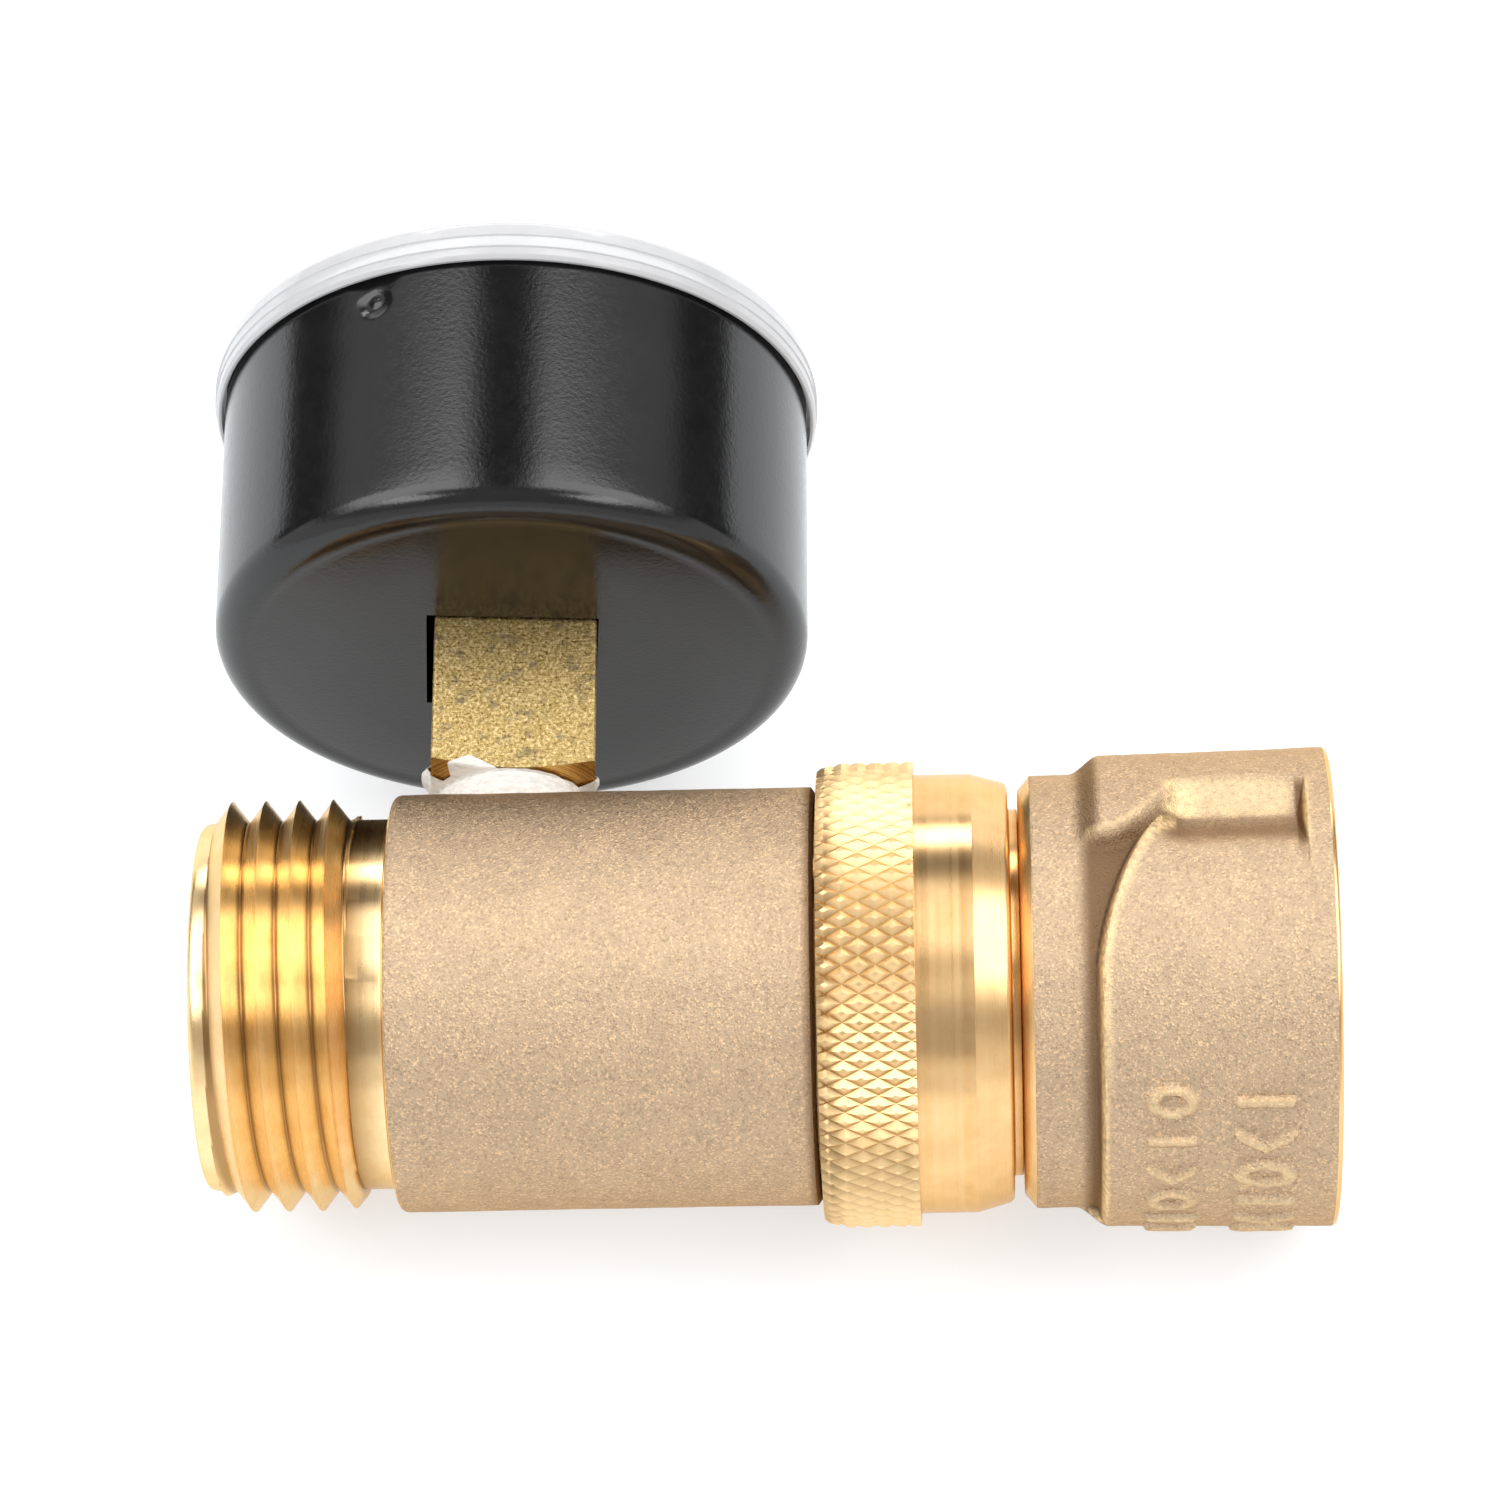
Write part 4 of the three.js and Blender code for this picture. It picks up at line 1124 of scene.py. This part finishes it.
def add_gauge_lens(material, thick):
    """Clear snap-on window: a skirt over the case, a rounded rim and a flat front."""
    low, high, outer = 44.8, 48.0, 20.65
    back, seat, front = 46.4, 46.1, high - 0.15
    skirt = [(low, 20.27, 0.1), (low, 20.45, 0.1), (low + 0.3, outer, 0.2)]
    ribs = []
    for start in (45.6, 46.5):
        ribs += [(start, outer, 0), (start + 0.08, outer + 0.09, 0), (start + 0.16, outer, 0)]
    lip = [(high - 0.2, outer - 0.1, 0.5), (high, 19.4, 0.8), (front, LENS_WINDOW_R - 0.1, 0.2)]
    rim = rounded([*skirt, *ribs, *lip, (back, 0.01, 0)])[:-1]
    section = [(back, 0), (back, 19), (seat, 19.1), (seat, 20.2), *rim, (front, 0)]
    bm = bmesh.new()
    add_turned(bm, GAUGE, section, even_angles(160), closed=False)
    piece = add_piece("gauge_lens_fine", bm, "regulator", material, ["gauge_lens"])
    piece.data.materials.append(thick)
    to_gauge = GAUGE.inverted()
    for face in piece.data.polygons:
        face.material_index = (to_gauge @ face.center).yz.length > LENS_WINDOW_R


SOCKET_SIDE = 10.85
SOCKET_FOOT = 14.5
SOCKET_TOP = 30.0
SOCKET_CONE_SLOPE = 0.30
SPIGOT_CREST_R = 5.1
CONE_START_R = 5.05
SOCKET_BORE_R = 1.6
TUBE_START = math.radians(-105)
SOCKET_TURN = math.radians(4.6)  # the square bar as it came to rest when screwed tight


def stem_matrix():
    """Millimetres along the stem and across it, square with the bar."""
    return GAUGE @ Matrix.Translation((0, -PORT_SHIFT, 0)) @ Matrix.Rotation(SOCKET_TURN, 4, "X")


def square_reach(angle, half, corner=0.35):
    """Distance from a square's centre to its side at an angle, with corners slightly rounded."""
    x, y = abs(math.cos(angle)), abs(math.sin(angle))
    power = 40
    sharp = half / max(x, y)
    soft = half / (x**power + y**power) ** (1 / power)
    return min(sharp, soft + corner * 0.1)


def add_gauge_socket(material, turned):
    """Square bar with a turned foot cone, a pipe-thread spigot and the arm that holds the tube."""
    stem = stem_matrix()
    half = SOCKET_SIDE / 2

    def cone_height(radius):
        return SOCKET_FOOT + (radius - 5) * SOCKET_CONE_SLOPE

    rows = [(11.0, SOCKET_BORE_R), (11.0, 4.7), (11.4, SPIGOT_CREST_R)]
    for index, height in enumerate(spaced(11.6, 14.3, 0.3)):
        rows.append((height, SPIGOT_CREST_R - 0.12 * (index % 2)))
    rows.append((SOCKET_FOOT, CONE_START_R))
    cone_rows = len(rows)
    # On the cone a row's second number is how far it lies from the spigot to the square's side.
    rows += [(SOCKET_FOOT, share) for share in (0.02, 0.15, 0.3, 0.45, 0.6, 0.75, 0.88, 0.97, 1.0)]
    side_rows = len(rows)
    rows += [(height, half) for height in (15.9, 16.5, 20, 25, 29.85)]
    rows += [(SOCKET_TOP, half - 0.15), (SOCKET_TOP, SOCKET_BORE_R)]
    corners = (45 + 90 * k + off for k in range(4) for off in (-2, -1, -0.4, 0.4, 1, 2))
    angles = sorted({*even_angles(96), *map(math.radians, corners)})
    bm = bmesh.new()
    grid = []
    for index, (height, radius) in enumerate(rows):
        line = []
        for angle in angles:
            reach = square_reach(angle, half)
            x, r = height, radius
            if cone_rows <= index < side_rows:
                r = CONE_START_R + (reach - CONE_START_R) * radius
                x = cone_height(r) - 0.05 * (radius > 0.96)
            elif index == side_rows:
                r, x = reach, cone_height(reach) + 0.08
            elif side_rows < index < len(rows) - 1:
                r = reach - (half - radius)
            line.append(bm.verts.new(polar(stem, x, r, angle)))
        grid.append(line)
    for row, line in enumerate(grid):
        bridge(bm, line, grid[(row + 1) % len(grid)])
    to_tube = Matrix.Rotation(TUBE_START + math.radians(10.6), 4, "X")
    arm = GAUGE @ to_tube @ Matrix.Translation((28.3, 10.4, 0))
    bevelled(bm, add_block(bm, arm, (2.2, 9.6, 4.6)), 0.3)
    piece = add_piece("gauge_socket_fine", bm, "regulator", material, ["gauge_socket"], 30)
    piece.data.materials.append(turned)
    to_stem = stem.inverted()
    for face in piece.data.polygons:
        height = (to_stem @ face.center).x
        face.material_index = height < 16.2 and face.normal.dot(STEM) < -0.5


# Lumps of tape: angle round the stem, height on it, how far each stands out, and its half widths.
TAPE_LUMPS = [(0.3, 15.6, 0.6, 0.24, 1.0), (2.72, 15.2, 0.3, 0.14, 0.6), (4.2, 13.6, 0.5, 0.4, 0.6)]
# Torn flaps that stand up over the socket: angle, height and half width.
TAPE_FLAPS = [(0.3, 2.3, 0.34), (1.08, 0.95, 0.3), (2.72, 1.3, 0.2), (4.4, 0.7, 0.3), (5.3, 0.5, 0.25)]


def tape_top(angle):
    """The height of the tape's torn upper edge."""
    ragged = 0.04 * noise.noise(Vector((9 * math.cos(angle), 9 * math.sin(angle), 7)))
    flaps = sum(h * max(0.0, 1 - abs(turn_between(angle, a)) / w) for a, h, w in TAPE_FLAPS)
    lean = 0.07 * math.cos(angle)
    return SOCKET_FOOT - 0.01 + lean + ragged + flaps


def tape_radius(height, angle):
    """Wound on the spigot, and lying on the cone and the flat above it."""
    wound = 5.3 + 0.2 * smooth(12.4, 13.2, height) * (1 - smooth(13.6, 14.4, height))
    over_cone = 5.3 + max(0.0, height - SOCKET_FOOT + 0.1) / SOCKET_CONE_SLOPE
    radius = min(max(wound, over_cone), square_reach(angle, SOCKET_SIDE / 2) + 0.05)
    for centre, level, out, half_turn, half_height in TAPE_LUMPS:
        off = math.hypot(turn_between(angle, centre) / half_turn, (height - level) / half_height)
        radius += out * (1 - smooth(0.2, 1.0, off))
    spot = Vector((2.2 * math.cos(angle), 2.2 * math.sin(angle), height * 1.1))
    return radius + 0.05 * noise.noise(spot) + 0.03 * noise.noise(spot * 3)


def add_thread_tape(material):
    """Crumpled tape wound between the sleeve and the socket, with lumps and torn flaps."""
    stem = stem_matrix()
    bm = bmesh.new()
    rows, thickness, bottom = 26, 0.08, 12.3
    angles = even_angles(240)
    grid = []
    for row in range(2 * rows):
        inner = row >= rows
        share = (2 * rows - 1 - row if inner else row) / (rows - 1)
        line = []
        for angle in angles:
            x = bottom + (tape_top(angle) - bottom) * share
            r = tape_radius(x, angle) - (thickness if inner else 0)
            line.append(bm.verts.new(polar(stem, x, r, angle)))
        grid.append(line)
    for row, line in enumerate(grid):
        bridge(bm, line, grid[(row + 1) % len(grid)])
    add_piece("thread_tape_fine", bm, "regulator", material, ["ptfe_tape"], 60)


DIAL_FRONT = 42.6
DIAL_MAXIMUM = 160
DIAL_ARC_R = (16.55, 16.75)
DIAL_NUMBER_R = 12.3
PRINT_LIFT = 0.02


def dial_angle(value):
    return math.radians(225 - 270 * value / DIAL_MAXIMUM)


def add_number(bm, value, place):
    """A flat printed number, upright to the gauge's reader, with its centre at a place."""
    curve = bpy.data.curves.new("number", "FONT")
    curve.body = str(value)
    curve.size, curve.extrude = 2.6, 0.012
    curve.align_x, curve.align_y = "CENTER", "CENTER"
    text = new_object("number", curve)
    bpy.context.view_layer.update()
    depsgraph = bpy.context.evaluated_depsgraph_get()
    mesh = bpy.data.meshes.new_from_object(text.evaluated_get(depsgraph))
    upright = Matrix(((0, 0, 1, 0), (1, 0, 0, 0), (0, 1, 0, 0), (0, 0, 0, 1)))
    mesh.transform(place @ upright)
    bm.from_mesh(mesh)
    bpy.data.objects.remove(text)


def add_dial_marks(material):
    """Ticks and numbers of a plain 0 to 160 scale, as a thin printed layer."""
    bm = bmesh.new()
    lift = DIAL_FRONT + PRINT_LIFT
    for value in range(0, DIAL_MAXIMUM + 1, 5):
        length, width = (2.2, 0.34) if value % 20 == 0 else (1.1, 0.16)
        turned = Matrix.Rotation(dial_angle(value), 4, "X")
        tick = GAUGE @ turned @ Matrix.Translation((lift, 16.6 - length / 2, 0))
        add_block(bm, tick, (0.03, length, width))
    low, high, inner, outer = lift - 0.01, lift + 0.015, *DIAL_ARC_R
    angles = [dial_angle(value / 2) for value in range(0, 2 * DIAL_MAXIMUM + 1)]
    lines = []
    for position, radius in ((low, inner), (low, outer), (high, outer), (high, inner)):
        lines.append([bm.verts.new(polar(GAUGE, position, radius, angle)) for angle in angles])
    for row, line in enumerate(lines):
        after = lines[(row + 1) % len(lines)]
        for column in range(len(angles) - 1):
            bm.faces.new((line[column], line[column + 1], after[column + 1], after[column]))
    for end in (0, -1):
        bm.faces.new([line[end] for line in lines])
    for value in range(0, DIAL_MAXIMUM + 1, 20):
        spot = polar(UNMOVED, lift, DIAL_NUMBER_R, dial_angle(value))
        add_number(bm, value, GAUGE @ Matrix.Translation(spot))
    add_piece("dial_marks", bm, "regulator", material)


# ---- Light and floor ------------------------------------------------------------------------

FLOOR_HALF = 1.6
FLOOR_GLOW = 0.60
SOFTBOX_LEVEL = 5.0
STRIP_LEVEL = 5.2
STRIP_ELEVATION = math.radians(36)
PANEL_LEVEL = 4.0
BACKDROP_LEVEL = 1.4
FRONT_LEVEL = 0.5
DARK_LEVEL = 0.08
BACKDROP_TOP = (0.30, 0.40)


def add_floor():
    """A pale table that glows a little, as a light table does, so that shadows on it stay soft."""
    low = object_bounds()[0].z
    mesh = bpy.data.meshes.new("floor")
    corners = [(x * FLOOR_HALF, y * FLOOR_HALF, low) for x, y in ((-1, -1), (1, -1), (1, 1), (-1, 1))]
    mesh.from_pydata(corners, [], [(0, 1, 2, 3)])
    floor = new_object("floor", mesh)
    f = Finish("floor", Roughness=0.85, Emission_Color=(1, 1, 1, 1), Emission_Strength=FLOOR_GLOW)
    grain = f.noise(f.place(), 0.05, 2.0)
    f.drive("Base Color", f.ramp(grain, [(0.3, (0.45, 0.47, 0.49)), (0.7, (0.47, 0.49, 0.51))]))
    mesh.materials.append(f.material)
    floor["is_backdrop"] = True


def add_softbox(name, towards, size, radiance):
    """A rectangular light 1 m away that faces the object, size being its width and height."""
    data = bpy.data.lights.new(name, "AREA")
    data.shape = "RECTANGLE"
    data.size, data.size_y = size
    data.energy = radiance * math.pi * size[0] * size[1]
    light = new_object(name, data)
    direction = Vector(towards).normalized()
    facing = (-direction).to_track_quat("-Z", "Y").to_matrix().to_4x4()
    light.matrix_world = Matrix.Translation(direction + Vector((0, 0, 0.02))) @ facing


def add_world():
    """The studio by direction: a white backdrop low down, dark corners, and ceiling panels at both sides."""
    world = bpy.data.worlds.new("studio")
    bpy.context.scene.world = world
    world.use_nodes = True
    w = NodeTree(world.node_tree)
    direction = w.node("ShaderNodeTexCoord").outputs["Generated"]
    split = w.node("ShaderNodeSeparateXYZ", {0: direction})
    x, y, z = split.outputs

    def share(value, first, second):
        squares = w.math("ADD", w.math("MULTIPLY", first, first), w.math("MULTIPLY", second, second))
        return w.math("DIVIDE", value, w.math("MAXIMUM", w.math("SQRT", squares), 1e-4))

    to_back = share(y, x, y)
    low = w.range(z, *BACKDROP_TOP, 1, 0, "SMOOTHSTEP")
    behind = w.range(to_back, 0.70, 0.80, 0, 1, "SMOOTHSTEP")
    beside = w.range(to_back, 0.12, 0.22, 1, 0, "SMOOTHSTEP")
    behind = w.math("MULTIPLY", behind, BACKDROP_LEVEL)
    backdrop = w.math("MULTIPLY", low, w.math("MAXIMUM", behind, beside))
    below = w.range(z, -0.02, 0.0, 1, 0)
    over = w.range(share(y, y, z), 0.38, 0.52, 1, 0, "SMOOTHSTEP")
    aside = w.math("ABSOLUTE", x)
    panel = w.math("MULTIPLY", w.range(aside, 0.12, 0.25, 0, 1), w.range(aside, 0.78, 0.9, 1, 0))
    panel = w.math("MULTIPLY", panel, w.range(y, -0.35, -0.15, 0, 1))
    sides = w.math("MULTIPLY", w.range(share(y, y, z), 0.76, 0.88, 0.2, 0), w.range(aside, 0.28, 0.42, 0, 1))
    over = w.math("MAXIMUM", over, sides)
    panels = w.math("MULTIPLY", w.math("MULTIPLY", panel, over), w.range(z, 0.2, 0.35, 0, 1))
    dim = w.range(y, -0.5, -0.05, FRONT_LEVEL, DARK_LEVEL)
    light = w.math("MAXIMUM", w.math("MAXIMUM", backdrop, below), w.math("MULTIPLY", panels, PANEL_LEVEL))
    w.tree.links.new(w.math("MAXIMUM", light, dim), w.tree.nodes["Background"].inputs["Strength"])
    w.tree.nodes["Background"].inputs["Color"].default_value = (1, 1, 1, 1)


def add_lights():
    """Two softboxes above the front corners, and a wide strip behind the gauge."""
    for side in (-1, 1):
        add_softbox("softbox", (side * 0.56, -0.42, 0.72), (0.44, 0.26), SOFTBOX_LEVEL)
    towards = (0, math.cos(STRIP_ELEVATION), math.sin(STRIP_ELEVATION))
    add_softbox("back strip", towards, (0.9, 0.24), STRIP_LEVEL)


# ---- Assembly -------------------------------------------------------------------------------


def finish_cad_nodes(finishes):
    """Gives every CAD node that stays in view the procedural material of its record slot."""
    slots = {entry["node"]: entry["material_slot"] for entry in frame["record"]["subparts"]}
    for name, node in frame["nodes"].items():
        node.data.materials.clear()
        node.data.materials.append(finishes[slots[name]])


def main():
    add_camera()
    finishes = {
        "cast_brass": cast_brass(),
        # Painted shade: this turned brass is a darker copy of the thread's turned brass below, dimming the
        # barrel's reflections.
        "turned_brass": turned_brass("turned_brass", ((0.71, 0.425, 0.175), (0.80, 0.51, 0.235))),
        "socket_brass": socket_brass(),
        "spring_steel": steel("spring_steel", (0.42, 0.43, 0.45), 0.28),
        "stainless": steel("stainless", (0.55, 0.56, 0.57), 0.2),
        "black_paint": black_paint(),
        "clear_lens": clear_plastic("clear_lens", (0.50, 0.51, 0.52), (0.03, 0.38)),
        "black_rubber": rubber(),
        "thread_tape": thread_tape(),
        "dial_white": printed_dial(),
        "pointer_black": ink(),
    }
    finish_cad_nodes(finishes)
    cast, turned, clear = finishes["cast_brass"], finishes["turned_brass"], finishes["clear_lens"]
    add_outlet_body(cast, turned_brass("thread_brass", ((0.83, 0.56, 0.26), (0.92, 0.68, 0.37))))
    add_inlet_cap(turned, rolled_brass())
    add_swivel_nut(cast, turned)
    add_regulator_spring(finishes["spring_steel"])
    add_hose_washer(finishes["black_rubber"])
    add_inlet_screen(finishes["stainless"])
    add_gauge_case(finishes["black_paint"])
    add_gauge_lens(clear, clear_plastic("clear_lens_rim", (0.52, 0.52, 0.53), (0.82, 0.96)))
    add_gauge_socket(finishes["socket_brass"], cone_brass())
    add_thread_tape(finishes["thread_tape"])
    add_dial_marks(finishes["pointer_black"])
    add_floor()
    add_world()
    add_lights()
    bpy.context.scene.view_settings.view_transform = "Standard"


main()
